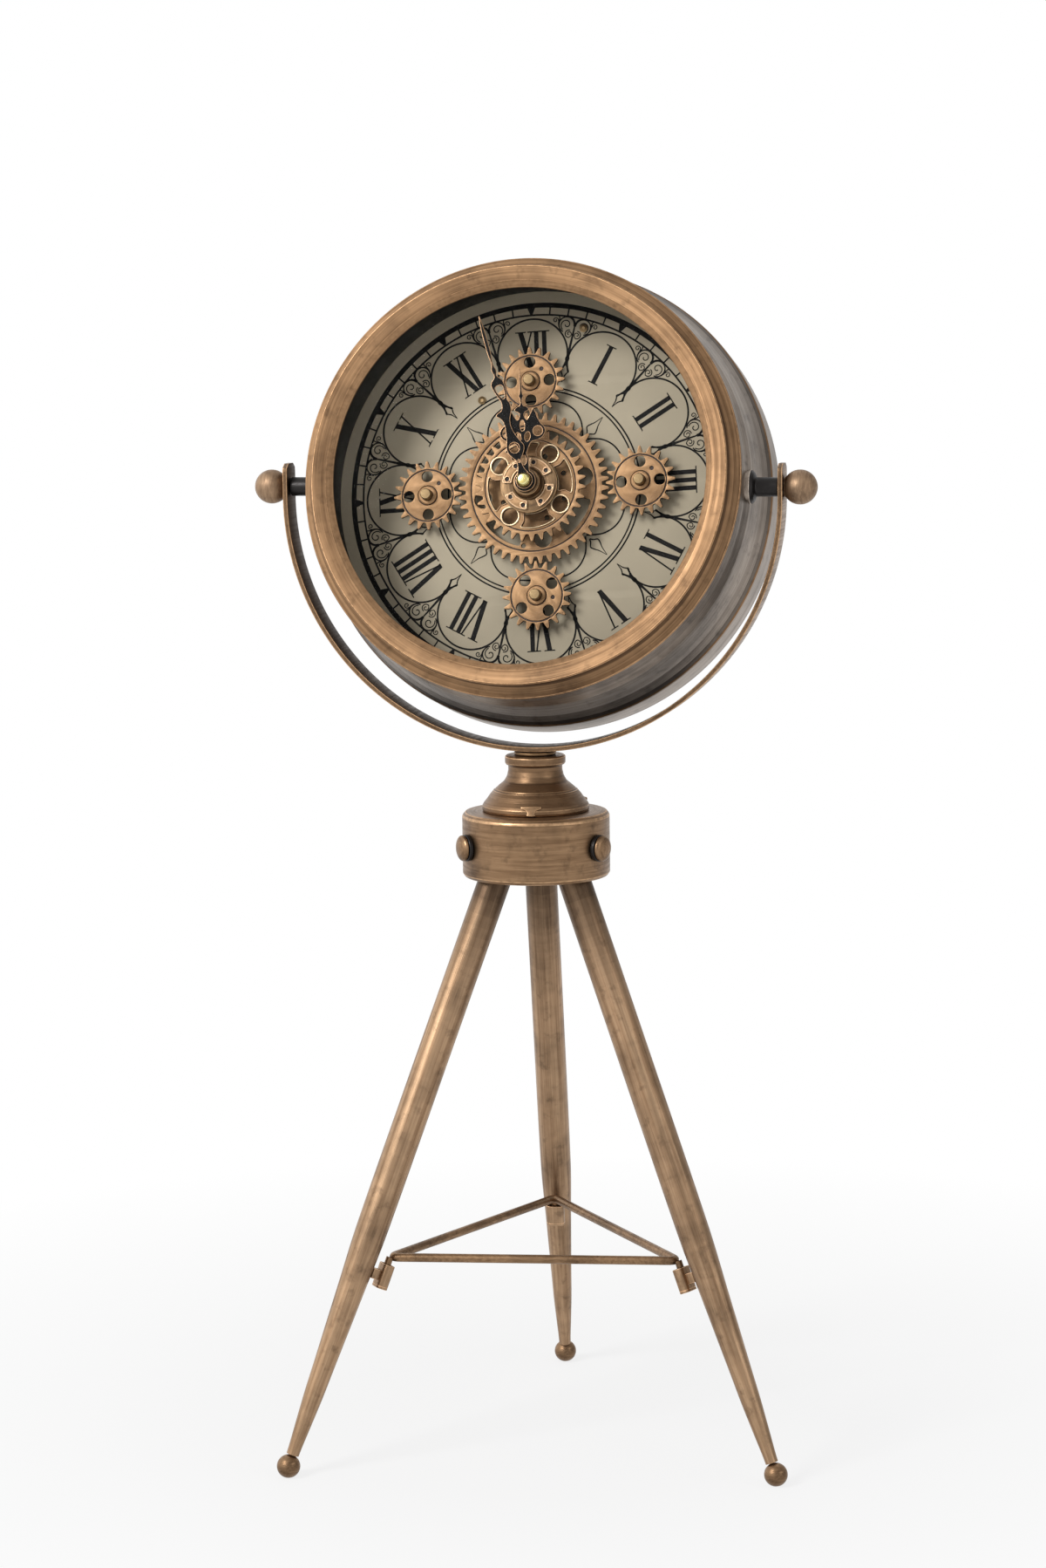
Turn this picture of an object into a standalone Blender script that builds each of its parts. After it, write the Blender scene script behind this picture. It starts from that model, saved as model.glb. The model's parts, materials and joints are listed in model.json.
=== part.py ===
"""Tripod table clock, made of separate pieces.

The tripod axis stands on the world origin while the pieces are made. The last step moves the
whole clock so that the middle of its bounding box is over the origin. +Z is up and the dial
faces -Y. At rest the yoke is turned a little on the pedestal and the head leans back.
"""

import math

import bmesh
import bpy
from mathutils import Matrix

MM = 0.001
DEGREE = math.pi / 180
HALF_TURN = math.pi
QUARTER_TURN = HALF_TURN / 2
FULL_TURN = 2 * HALF_TURN

# Fits
GAP = 0.3 * MM
CUT_MARGIN = 2 * MM
MERGE_DISTANCE = 0.01 * MM

# Smoothness of round pieces
LARGE_STEPS = 32
MEDIUM_STEPS = 24
ROUND_STEPS = 16
LEG_STEPS = 12
SMALL_STEPS = 10
TINY_STEPS = 8
SHARP_ANGLE = 35 * DEGREE

# Feet
FOOT_CIRCLE_RADIUS = 130 * MM
FOOT_BALL_RADIUS = 5.6 * MM
FOOT_FLAT_RADIUS = 1.6 * MM
FOOT_SPIGOT_RADIUS = 1.6 * MM
FOOT_SPIGOT_LENGTH = 16 * MM
FOOT_BALL_ARCS = 6
FOOT_CENTRE_HEIGHT = math.sqrt(FOOT_BALL_RADIUS**2 - FOOT_FLAT_RADIUS**2)

# Heights of the hub collar, and the circle on which the legs meet its middle
HUB_BOTTOM_HEIGHT = 272.3 * MM
HUB_HEIGHT = 30.5 * MM
HUB_SOCKET_CIRCLE_RADIUS = 14.8 * MM
HUB_TOP_HEIGHT = HUB_BOTTOM_HEIGHT + HUB_HEIGHT
HUB_MIDDLE_HEIGHT = HUB_BOTTOM_HEIGHT + HUB_HEIGHT / 2

# Legs, measured along each leg from the centre of its foot ball
LEG_AZIMUTHS = {"left": 210 * DEGREE, "right": 330 * DEGREE, "back": 90 * DEGREE}
LEG_RADIUS = 7.55 * MM
LEG_WALL = 1.1 * MM
LEG_ANKLE_RADIUS = 4.6 * MM
LEG_ANKLE_LENGTH = 36 * MM
LEG_SHIN_RADIUS = 6.3 * MM
LEG_SHIN_LENGTH = 86 * MM
LEG_TAPER_LENGTH = 116 * MM
LEG_PLUG_OVERHANG = 26.3 * MM
LEG_TOP_REACH = 5.2 * MM
LEG_END_RADIUS = FOOT_SPIGOT_RADIUS + GAP + LEG_WALL
LEG_END_LENGTH = math.sqrt(FOOT_BALL_RADIUS**2 - (LEG_END_RADIUS - LEG_WALL) ** 2) + GAP
LEG_SPREAD = FOOT_CIRCLE_RADIUS - HUB_SOCKET_CIRCLE_RADIUS
LEG_RISE = HUB_MIDDLE_HEIGHT - FOOT_CENTRE_HEIGHT
LEG_LEAN = math.atan2(LEG_SPREAD, LEG_RISE)
LEG_SPAN = math.hypot(LEG_SPREAD, LEG_RISE)
LEG_PLUG_START = LEG_SPAN - HUB_HEIGHT / (2 * math.cos(LEG_LEAN)) - LEG_PLUG_OVERHANG
LEG_LENGTH = LEG_SPAN + LEG_TOP_REACH

# Hub collar
HUB_WALL = 12.05 * MM
HUB_RADIUS = HUB_SOCKET_CIRCLE_RADIUS + LEG_RADIUS + HUB_WALL
HUB_TOP_ROUND = 2.4 * MM
HUB_BOTTOM_ROUND = 1.4 * MM
HUB_ROUND_ARCS = 2

# Leg bolts, measured outward from the tripod axis
BOLT_SHANK_RADIUS = 2.5 * MM
BOLT_END_DISTANCE = 11 * MM
BOLT_HEAD_RADIUS = 6 * MM
BOLT_HEAD_HEIGHT = 2.6 * MM
BOLT_HEAD_ARCS = 3
WASHER_RADIUS = 6.2 * MM
WASHER_THICKNESS = 1.8 * MM

# Wire brace and the cups that hold it, placed along and inward from each leg
BRACE_STAND = 3.4 * MM
BRACE_ROD_RADIUS = 2.05 * MM
BRACE_BEND_RADIUS = 2.6 * MM
BRACE_BEND_ARCS = 3
BRACE_ROD_RESOLUTION = 2
BRACE_PIN_RADIUS = 1.7 * MM
CUP_BOTTOM_LENGTH = 90.8 * MM
CUP_LENGTH = 11.5 * MM
CUP_OFFSET = 13.6 * MM
CUP_WIDTH = 9 * MM
CUP_WALL = 0.7 * MM
CUP_FLOOR = 1.2 * MM
CUP_PLAY = 0.4 * MM
CUP_FLAT = 0.2 * MM
CUP_TAB_WIDTH = 4 * MM
CUP_TAB_HEIGHT = 4.8 * MM
CUP_TAB_LAP = 0.5 * MM
CUP_DEPTH = 2 * (BRACE_PIN_RADIUS + CUP_PLAY + CUP_WALL)
CUP_CORNER = CUP_DEPTH / 2 - CUP_FLAT
BRACE_LENGTH = CUP_BOTTOM_LENGTH + CUP_LENGTH + BRACE_STAND

# Pedestal, a pressed bell with three tabs in slots of the hub: its heights are from its bottom
PEDESTAL_HEIGHT = 25.8 * MM
PEDESTAL_TOP_WALL = 3 * MM
PEDESTAL_WALL = 1.8 * MM
PEDESTAL_LIP_RADIUS = 14 * MM
PEDESTAL_LIP_HEIGHT = 4.4 * MM
PEDESTAL_LIP_ROUND = 0.9 * MM
PEDESTAL_LIP_REACH = 1.4 * MM
PEDESTAL_NECK_HEIGHT = 14.3 * MM
PEDESTAL_STEP_RADIUS = 19.2 * MM
PEDESTAL_STEP_HEIGHT = 9.4 * MM
PEDESTAL_STEP_WIDTH = 0.5 * MM
PEDESTAL_SKIRT_RADIUS = 25 * MM
PEDESTAL_SKIRT_HEIGHT = 1.4 * MM
PEDESTAL_SKIRT_TURN = 0.8 * MM
PEDESTAL_SEAT_WIDTH = 2 * MM
PEDESTAL_FLARE_SHARES = ((0.0, 0.0), (0.12, 0.25), (0.45, 0.6), (1.0, 1.0))
PEDESTAL_SKIRT_SHARES = ((0.25, 0.22), (0.5, 0.42), (0.78, 0.68), (0.94, 0.86), (1.0, 1.0))
PEDESTAL_NECK_RADIUS = PEDESTAL_LIP_RADIUS - PEDESTAL_LIP_REACH
PEDESTAL_SEAT_RADIUS = PEDESTAL_SKIRT_RADIUS - PEDESTAL_SKIRT_TURN
PEDESTAL_BOTTOM_HEIGHT = HUB_TOP_HEIGHT + GAP
PEDESTAL_TOP_HEIGHT = PEDESTAL_BOTTOM_HEIGHT + PEDESTAL_HEIGHT
TAB_AZIMUTHS = (30 * DEGREE, 150 * DEGREE, 270 * DEGREE)
TAB_WIDTH = 4 * MM
TAB_THICKNESS = 1.2 * MM
TAB_RISE = 3 * MM
TAB_REACH = 3 * MM
TAB_RADIUS = PEDESTAL_SEAT_RADIUS - PEDESTAL_SEAT_WIDTH / 2

# Swivel stud under the yoke, with its nut inside the pedestal
STUD_RADIUS = 3 * MM
STUD_FLANGE_RADIUS = 9.8 * MM
STUD_FLANGE_THICKNESS = 1.4 * MM
STUD_LENGTH = 12 * MM
STUD_RECESS = 0.2 * MM
NUT_RADIUS = 5.8 * MM
NUT_HEIGHT = 4.8 * MM
NUT_SIDES = 6

# Head: every depth is measured toward the viewer from the pivot axis
HEAD_TILT = 13.8 * DEGREE
DIAL_TURN = 4.1 * DEGREE

# Bezel: its skirt slides into the case, and its depths build up from its back face
BEZEL_BACK_DEPTH = 21.9 * MM
BEZEL_SKIRT_RADIUS = 96.8 * MM
BEZEL_SKIRT_WALL = 1.2 * MM
BEZEL_SKIRT_LENGTH = 5.7 * MM
BEZEL_POCKET_WALL = 1.3 * MM
BEZEL_POCKET_RISE = 1.1 * MM
BEZEL_BEAD_REACH = 5 * MM
BEZEL_BEAD_RISE = 1.7 * MM
BEZEL_BEAD_HEIGHT = 1.4 * MM
BEZEL_COVE_INSET = 0.7 * MM
BEZEL_COVE_RISE = 3.4 * MM
BEZEL_COVE_LENGTH = 3.6 * MM
BEZEL_RIM_INSET = 0.2 * MM
BEZEL_RIM_RISE = 2.7 * MM
BEZEL_RIM_ROUND = 0.7 * MM
BEZEL_RIM_WIDTH = 6.8 * MM
BEZEL_STEP_DROP = 0.8 * MM
BEZEL_LIP_WIDTH = 3.2 * MM
BEZEL_LIP_DROP = 2.1 * MM
BEZEL_LIP_THICKNESS = 1.6 * MM
BEZEL_COVE_SHARES = ((0.18, 0.42), (0.52, 0.72), (0.85, 0.9))
BEZEL_SKIRT_DEPTH = BEZEL_BACK_DEPTH - BEZEL_SKIRT_LENGTH
BEZEL_POCKET_RADIUS = BEZEL_SKIRT_RADIUS - BEZEL_SKIRT_WALL - BEZEL_POCKET_WALL
BEZEL_POCKET_BACK_DEPTH = BEZEL_BACK_DEPTH + BEZEL_POCKET_RISE
BEZEL_BEAD_RADIUS = BEZEL_SKIRT_RADIUS + BEZEL_BEAD_REACH
BEZEL_BEAD_DEPTH = BEZEL_BACK_DEPTH + BEZEL_BEAD_RISE
BEZEL_COVE_BACK_DEPTH = BEZEL_BEAD_DEPTH + BEZEL_COVE_RISE
BEZEL_COVE_FRONT_DEPTH = BEZEL_COVE_BACK_DEPTH + BEZEL_COVE_LENGTH
BEZEL_RIM_RADIUS = BEZEL_SKIRT_RADIUS - BEZEL_RIM_INSET
BEZEL_RIM_DEPTH = BEZEL_COVE_FRONT_DEPTH + BEZEL_RIM_RISE
BEZEL_COVE_RADIUS = BEZEL_RIM_RADIUS - BEZEL_COVE_INSET
BEZEL_STEP_RADIUS = BEZEL_RIM_RADIUS - BEZEL_RIM_WIDTH
BEZEL_STEP_DEPTH = BEZEL_RIM_DEPTH - BEZEL_STEP_DROP
BEZEL_LIP_RADIUS = BEZEL_STEP_RADIUS - BEZEL_LIP_WIDTH
BEZEL_LIP_DEPTH = BEZEL_STEP_DEPTH - BEZEL_LIP_DROP
GLASS_THICKNESS = 2 * MM
GLASS_RADIUS = BEZEL_POCKET_RADIUS - GAP
GLASS_FRONT_DEPTH = BEZEL_LIP_DEPTH - BEZEL_LIP_THICKNESS - GAP
GLASS_BACK_DEPTH = GLASS_FRONT_DEPTH - GLASS_THICKNESS

# Dial and the black inner wall in front of it
INNER_RING_WALL = 0.9 * MM
INNER_RING_RADIUS = BEZEL_SKIRT_RADIUS - BEZEL_SKIRT_WALL - GAP
INNER_RING_SHOULDER_DEPTH = BEZEL_POCKET_BACK_DEPTH - GAP
DIAL_FACE_DEPTH = -10 * MM
DIAL_THICKNESS = 1.2 * MM
DIAL_RADIUS = INNER_RING_RADIUS
DIAL_BACK_DEPTH = DIAL_FACE_DEPTH - DIAL_THICKNESS

# Case shell, a turned drum that flares from the bezel's skirt to a rear band
CASE_FRONT_WALL = 1.6 * MM
CASE_FLARE_WIDTH = 9.2 * MM
CASE_FLARE_DEPTH = -24.7 * MM
CASE_FLARE_SHARES = ((0.03, 0.14), (0.19, 0.34), (0.37, 0.47), (0.64, 0.81), (0.89, 0.95), (1.0, 1.0))
CASE_BAND_STEP = 0.6 * MM
CASE_BAND_BEVEL = 0.9 * MM
CASE_BACK_DEPTH = -46.1 * MM
CASE_BACK_ROUND = 0.7 * MM
CASE_BACK_WALL = 3.5 * MM
CASE_COVER_RECESS = 4.5 * MM
CASE_COVER_LEDGE_WIDTH = 7 * MM
CASE_COVER_LEDGE_THICKNESS = 3.6 * MM
CASE_COVER_LEDGE_SLOPE = 4 * MM
CASE_CHAMBER_WALL = 6 * MM
CASE_CHAMBER_SETBACK = 1.4 * MM
CASE_DIAL_LEDGE_WIDTH = 2.6 * MM
CASE_DIAL_LEDGE_THICKNESS = 3 * MM
CASE_DIAL_LEDGE_SLOPE = 4 * MM
CASE_BORE_RADIUS = DIAL_RADIUS + GAP
CASE_SKIRT_BORE_RADIUS = BEZEL_SKIRT_RADIUS + GAP
CASE_SKIRT_SEAT_DEPTH = BEZEL_SKIRT_DEPTH - GAP
CASE_FRONT_DEPTH = BEZEL_BACK_DEPTH - GAP
CASE_FRONT_RADIUS = CASE_SKIRT_BORE_RADIUS + CASE_FRONT_WALL
CASE_FLARE_RADIUS = CASE_FRONT_RADIUS + CASE_FLARE_WIDTH
CASE_BAND_RADIUS = CASE_FLARE_RADIUS + CASE_BAND_STEP
CASE_BAND_DEPTH = CASE_FLARE_DEPTH - CASE_BAND_BEVEL
CASE_BACK_BORE_RADIUS = CASE_BAND_RADIUS - CASE_BACK_WALL
CASE_COVER_SEAT_DEPTH = CASE_BACK_DEPTH + CASE_COVER_RECESS
CASE_COVER_LEDGE_RADIUS = CASE_BACK_BORE_RADIUS - CASE_COVER_LEDGE_WIDTH
CASE_COVER_LEDGE_DEPTH = CASE_COVER_SEAT_DEPTH + CASE_COVER_LEDGE_THICKNESS
CASE_CHAMBER_RADIUS = CASE_BAND_RADIUS - CASE_CHAMBER_WALL
CASE_CHAMBER_BACK_DEPTH = CASE_COVER_LEDGE_DEPTH + CASE_COVER_LEDGE_SLOPE
CASE_CHAMBER_FRONT_DEPTH = CASE_BAND_DEPTH - CASE_CHAMBER_SETBACK
CASE_DIAL_LEDGE_RADIUS = CASE_BORE_RADIUS - CASE_DIAL_LEDGE_WIDTH

# Yoke, a flat strip bent to a bow whose centre lies below the pivots, so that the case can tilt in it
YOKE_TURN = -7.48 * DEGREE
YOKE_SIDE_CLEARANCE = 6.9 * MM
YOKE_SWING_CLEARANCE = 2.31 * MM
YOKE_THICKNESS = 2.2 * MM
YOKE_WIDTH = 14.5 * MM
YOKE_ARM_RISE = 10.9 * MM
YOKE_ARM_CORNER = 3.5 * MM
YOKE_CORNER_ARCS = 3
YOKE_BOW_STEPS = 28
YOKE_INNER_RADIUS = CASE_BAND_RADIUS + YOKE_SIDE_CLEARANCE
YOKE_OUTER_RADIUS = YOKE_INNER_RADIUS + YOKE_THICKNESS
CASE_SWING_RADIUS = math.hypot(CASE_BAND_RADIUS, CASE_BACK_DEPTH)
YOKE_BOW_DROP = CASE_SWING_RADIUS + YOKE_SWING_CLEARANCE - YOKE_INNER_RADIUS
YOKE_BOTTOM_HEIGHT = PEDESTAL_TOP_HEIGHT + GAP + STUD_FLANGE_THICKNESS + GAP
PIVOT_HEIGHT = YOKE_BOTTOM_HEIGHT + YOKE_OUTER_RADIUS + YOKE_BOW_DROP

# Pivot bushings and knobs, measured outward from the middle of the head
PIVOT_SEAT_RISE = 3.9 * MM
PIVOT_BOSS_RADIUS = 7.8 * MM
PIVOT_BOSS_SETBACK = 1.4 * MM
BUSHING_RADIUS = 4.4 * MM
BUSHING_COLLAR_RADIUS = 7.4 * MM
BUSHING_COLLAR_THICKNESS = 0.8 * MM
BUSHING_COLLAR_SLOPE = 1.1 * MM
BUSHING_SPIGOT_RADIUS = 3 * MM
BUSHING_SPIGOT_LENGTH = 4.6 * MM
KNOB_BALL_RADIUS = 7.95 * MM
KNOB_NECK_RADIUS = 4.6 * MM
KNOB_NECK_LENGTH = 0.6 * MM
KNOB_BALL_ARCS = 8
KNOB_SHANK_RADIUS = 2.4 * MM
KNOB_BORE_FLOOR = 2.2 * MM
KNOB_END_CLEARANCE = 0.8 * MM
PIVOT_SEAT_DISTANCE = CASE_FRONT_RADIUS + PIVOT_SEAT_RISE
PIVOT_BOSS_ROOT = CASE_BORE_RADIUS + PIVOT_BOSS_SETBACK

# Back cover and its screws
COVER_THICKNESS = 1.5 * MM
COVER_RADIUS = CASE_BACK_BORE_RADIUS - GAP
COVER_FRONT_DEPTH = CASE_COVER_SEAT_DEPTH - GAP
COVER_BACK_DEPTH = COVER_FRONT_DEPTH - COVER_THICKNESS
COVER_OPENING_WIDTH = 68 * MM
COVER_OPENING_HEIGHT = 118 * MM
COVER_OPENING_CENTRE = (0, 25 * MM)
COVER_OPENING_CORNER = 12 * MM
COVER_CORNER_ARCS = 3
COVER_SCREW_ANGLES = (0, 120 * DEGREE, 240 * DEGREE)
COVER_SCREW_CIRCLE_RADIUS = CASE_COVER_LEDGE_RADIUS + CASE_COVER_LEDGE_WIDTH / 2
COVER_SCREW_RADIUS = 1.3 * MM
COVER_SCREW_HEAD_RADIUS = 2.6 * MM
COVER_SCREW_HEAD_HEIGHT = 1.4 * MM
COVER_SCREW_LENGTH = 4.6 * MM
COVER_SCREW_SEAT_DEPTH = COVER_BACK_DEPTH - GAP
COVER_SCREW_END_DEPTH = COVER_SCREW_SEAT_DEPTH + COVER_SCREW_LENGTH

# Gear train: every gear has the same module, and heights are measured from the face of the dial
GEAR_MODULE = 1.48 * MM
GEAR_THICKNESS = 1.8 * MM
GEAR_PLANE_HEIGHT = 7 * MM
UPPER_GEAR_RISE = 7 * MM
UPPER_GEAR_HEIGHT = GEAR_PLANE_HEIGHT + UPPER_GEAR_RISE
TOOTH_ROOT_SHARE = 0.6
TOOTH_TIP_SHARE = 0.26
WINDOW_REPEATS = 4
WINDOW_CORNER = 1.6 * MM
WINDOW_ARCS = 4
HALF_REPEAT = HALF_TURN / WINDOW_REPEATS
SATELLITE_ANGLES = {
    "top": 0,
    "right": QUARTER_TURN,
    "bottom": HALF_TURN,
    "left": -QUARTER_TURN,
}
DRIVEN_GEAR = "top"
SATELLITE_TEETH = 20
SATELLITE_TEETH_TURNED = {"top": 0, "right": 0, "bottom": 3, "left": 0}
SATELLITE_ADDENDUM = 1.5 * MM
SATELLITE_TOOTH_DEPTH = 3.4 * MM
SATELLITE_RIM = 1.2 * MM
SATELLITE_HOLES = 4
SATELLITE_HOLE_RADIUS = 2.7 * MM
SATELLITE_BOSS_RADIUS = 4.2 * MM
SATELLITE_BOSS_RISE = 1 * MM
SATELLITE_PITCH_RADIUS = SATELLITE_TEETH * GEAR_MODULE / 2
SATELLITE_TIP_RADIUS = SATELLITE_PITCH_RADIUS + SATELLITE_ADDENDUM
SATELLITE_ROOT_RADIUS = SATELLITE_TIP_RADIUS - SATELLITE_TOOTH_DEPTH
SATELLITE_HOLE_CIRCLE_RADIUS = SATELLITE_ROOT_RADIUS - SATELLITE_RIM - SATELLITE_HOLE_RADIUS
MAIN_TEETH = 48
MAIN_ADDENDUM = 0.2 * MM
MAIN_TOOTH_DEPTH = 3.5 * MM
MAIN_RIM = 4.4 * MM
MAIN_WINDOW_WIDTH = 7.4 * MM
MAIN_WINDOW_CENTRE = 36 * DEGREE
MAIN_WINDOW_HALF_ANGLE = 21 * DEGREE
MAIN_HOLE_RADIUS = 4.2 * MM
MAIN_HOLE_CENTRE = MAIN_WINDOW_CENTRE + HALF_REPEAT
MAIN_PITCH_RADIUS = MAIN_TEETH * GEAR_MODULE / 2
MAIN_TIP_RADIUS = MAIN_PITCH_RADIUS + MAIN_ADDENDUM
MAIN_ROOT_RADIUS = MAIN_TIP_RADIUS - MAIN_TOOTH_DEPTH
MAIN_WINDOW_OUTER_RADIUS = MAIN_ROOT_RADIUS - MAIN_RIM
MAIN_WINDOW_INNER_RADIUS = MAIN_WINDOW_OUTER_RADIUS - MAIN_WINDOW_WIDTH
MAIN_HOLE_CIRCLE_RADIUS = MAIN_WINDOW_OUTER_RADIUS - MAIN_WINDOW_WIDTH / 2
SATELLITE_DISTANCE = MAIN_PITCH_RADIUS + SATELLITE_PITCH_RADIUS
UPPER_TEETH = 34
UPPER_ADDENDUM = 1.04 * MM
UPPER_TOOTH_DEPTH = 3.3 * MM
UPPER_RIM = 3.3 * MM
UPPER_WINDOW_WIDTH = 5.8 * MM
UPPER_WINDOW_HALF_ANGLE = 22 * DEGREE
UPPER_HOLE_CENTRE = 35 * DEGREE
UPPER_HOLE_INSET = 2.6 * MM
UPPER_HOLE_RADIUS = 3.8 * MM
UPPER_BOSS_RADIUS = 8.4 * MM
UPPER_WINDOW_CENTRE = UPPER_HOLE_CENTRE + HALF_REPEAT
UPPER_TIP_RADIUS = UPPER_TEETH * GEAR_MODULE / 2 + UPPER_ADDENDUM
UPPER_ROOT_RADIUS = UPPER_TIP_RADIUS - UPPER_TOOTH_DEPTH
UPPER_WINDOW_OUTER_RADIUS = UPPER_ROOT_RADIUS - UPPER_RIM
UPPER_WINDOW_INNER_RADIUS = UPPER_WINDOW_OUTER_RADIUS - UPPER_WINDOW_WIDTH
UPPER_HOLE_CIRCLE_RADIUS = UPPER_WINDOW_OUTER_RADIUS - UPPER_HOLE_INSET

# Centre stack
BUSH_RADIUS = 4.2 * MM
BUSH_FLANGE_RADIUS = 6.6 * MM
BUSH_FLANGE_THICKNESS = 1.3 * MM
BUSH_SPIGOT_LENGTH = 2.8 * MM
BUSH_TOP_DROP = 0.5 * MM
SLEEVE_WALL = 0.9 * MM
SLEEVE_BOSS_RADIUS = 7.6 * MM
HUB_PLATE_RADIUS = 13.4 * MM
HUB_PLATE_BOSS_RADIUS = 8 * MM
HUB_PLATE_LIFT = 1.5 * MM
HUB_PLATE_THICKNESS = 1.4 * MM
HUB_PAD_HEIGHT = 0.8 * MM
HUB_PAD_INNER_RADIUS = 7.8 * MM
HUB_PAD_OUTER_RADIUS = 12.2 * MM
HUB_PAD_HALF_ANGLE = 32 * DEGREE
HUB_PAD_CORNER = 1.4 * MM
HUB_PAD_SINK = 0.4 * MM
HUB_PLATE_TOP_HEIGHT = UPPER_GEAR_HEIGHT + GAP + HUB_PLATE_LIFT + HUB_PLATE_THICKNESS
SLEEVE_TOP_HEIGHT = HUB_PLATE_TOP_HEIGHT - GAP
BUSH_TOP_HEIGHT = SLEEVE_TOP_HEIGHT - BUSH_TOP_DROP
CONE_BASE_RADIUS = 7.3 * MM
CONE_BASE_LIP = 0.9 * MM
CONE_TOP_RADIUS = 4.3 * MM
CONE_HEIGHT = 7 * MM
CONE_TOP_HEIGHT = HUB_PLATE_TOP_HEIGHT + GAP + CONE_HEIGHT
HOUR_ARBOR_RADIUS = 3 * MM
HOUR_ARBOR_WALL = 0.7 * MM
MINUTE_ARBOR_RADIUS = 1.9 * MM
HAND_THICKNESS = 0.6 * MM
HOUR_HAND_HEIGHT = CONE_TOP_HEIGHT + GAP
HOUR_ARBOR_TOP_HEIGHT = HOUR_HAND_HEIGHT + 2 * HAND_THICKNESS
MINUTE_HAND_HEIGHT = HOUR_ARBOR_TOP_HEIGHT + GAP
CAP_RADIUS = 3.3 * MM
CAP_HEIGHT = 3.4 * MM
CAP_CROWN = 1.2 * MM
CAP_ARCS = 3
CAP_SKIRT_SHARE = 0.35
CAP_BOTTOM_HEIGHT = MINUTE_HAND_HEIGHT + HAND_THICKNESS + GAP
MINUTE_ARBOR_TOP_HEIGHT = CAP_BOTTOM_HEIGHT + CAP_HEIGHT - CAP_CROWN
ARBOR_END_CLEARANCE = 0.4 * MM

# Posts and pins of the four small gears
PIN_RADIUS = 2.5 * MM
PIN_REACH = 5 * MM
PIN_TOP_HEIGHT = GEAR_PLANE_HEIGHT + PIN_REACH
PIN_ROUND = 0.8 * MM
POST_FLANGE_RADIUS = 4.6 * MM
POST_FLANGE_THICKNESS = 1.6 * MM
POST_SPIGOT_RADIUS = 1.9 * MM

# Hands: shares are of the hand's length, along it and across it
HOUR_HAND_LENGTH = 52.8 * MM
HOUR_HAND_TIME = -1 * DEGREE
MINUTE_HAND_LENGTH = 80.6 * MM
MINUTE_HAND_TIME = -13.7 * DEGREE
HAND_EYE_WIDTH = 1.3 * MM
HAND_EYE_ARCS = 8
HAND_HOLE_ARCS = 8
HOUR_HAND_SHARES = (
    (0.14, 0.045),
    (0.19, 0.028),
    (0.27, 0.04),
    (0.34, 0.085),
    (0.42, 0.135),
    (0.5, 0.14),
    (0.56, 0.08),
    (0.62, 0.06),
    (0.66, 0.1),
    (0.7, 0.085),
    (0.74, 0.025),
    (1.0, 0.006),
)
HOUR_HAND_HOLE_SHARES = ((0.42, 0.055, 0.035, 0.04), (0.42, -0.055, 0.035, 0.04), (0.53, 0.0, 0.045, 0.03))
MINUTE_HAND_SHARES = (
    (0.07, 0.038),
    (0.1, 0.022),
    (0.15, 0.03),
    (0.19, 0.056),
    (0.25, 0.06),
    (0.3, 0.035),
    (0.35, 0.03),
    (0.385, 0.062),
    (0.41, 0.05),
    (0.45, 0.024),
    (0.52, 0.014),
    (0.565, 0.014),
    (0.6, 0.035),
    (0.635, 0.014),
    (0.68, 0.02),
    (0.72, 0.012),
    (1.0, 0.003),
)
MINUTE_HAND_HOLE_SHARES = ((0.215, 0.028, 0.028, 0.018), (0.215, -0.028, 0.028, 0.018), (0.32, 0.0, 0.03, 0.012))

# AA cells, each in a bay that is open at the back
BATTERY_RADIUS = 7.1 * MM
BATTERY_LENGTH = 49 * MM
BATTERY_NUB_RADIUS = 2.7 * MM
BATTERY_NUB_LENGTH = 1.2 * MM
BATTERY_ROUND = 0.5 * MM
BATTERY_CLEARANCE = 0.4 * MM
BAY_WALL = 2.1 * MM
BAY_RECESS = 0.5 * MM
BAY_WIDTH = BATTERY_LENGTH + 2 * (BATTERY_NUB_LENGTH + BATTERY_CLEARANCE)
BAY_HEIGHT = 2 * (BATTERY_RADIUS + BATTERY_CLEARANCE)
BAY_DEPTH = 2 * BATTERY_RADIUS + BATTERY_CLEARANCE + BAY_RECESS
BOX_CORNER = 3 * MM
BOX_ARCS = 2

# Movement behind the dial, in the dial's own turned frame
MOVEMENT_SIDE_WALL = 1.9 * MM
MOVEMENT_HEIGHT = 56 * MM
MOVEMENT_BAY_FLOOR = 1.3 * MM
MOVEMENT_WIDTH = BAY_WIDTH + 2 * MOVEMENT_SIDE_WALL
MOVEMENT_THICKNESS = MOVEMENT_BAY_FLOOR + BAY_DEPTH
MOVEMENT_BAY_CENTRE = (0, BAY_WALL + BAY_HEIGHT / 2 - MOVEMENT_HEIGHT / 2)
BUSH_SOCKET_DEPTH = 3.1 * MM
SET_KNOB_CENTRE = (9 * MM, 10 * MM)
SET_KNOB_RADIUS = 5.5 * MM
SET_KNOB_HEIGHT = 4.4 * MM
SET_KNOB_STEM_RADIUS = 1.7 * MM
SET_KNOB_STEM_LENGTH = 2.6 * MM

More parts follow.
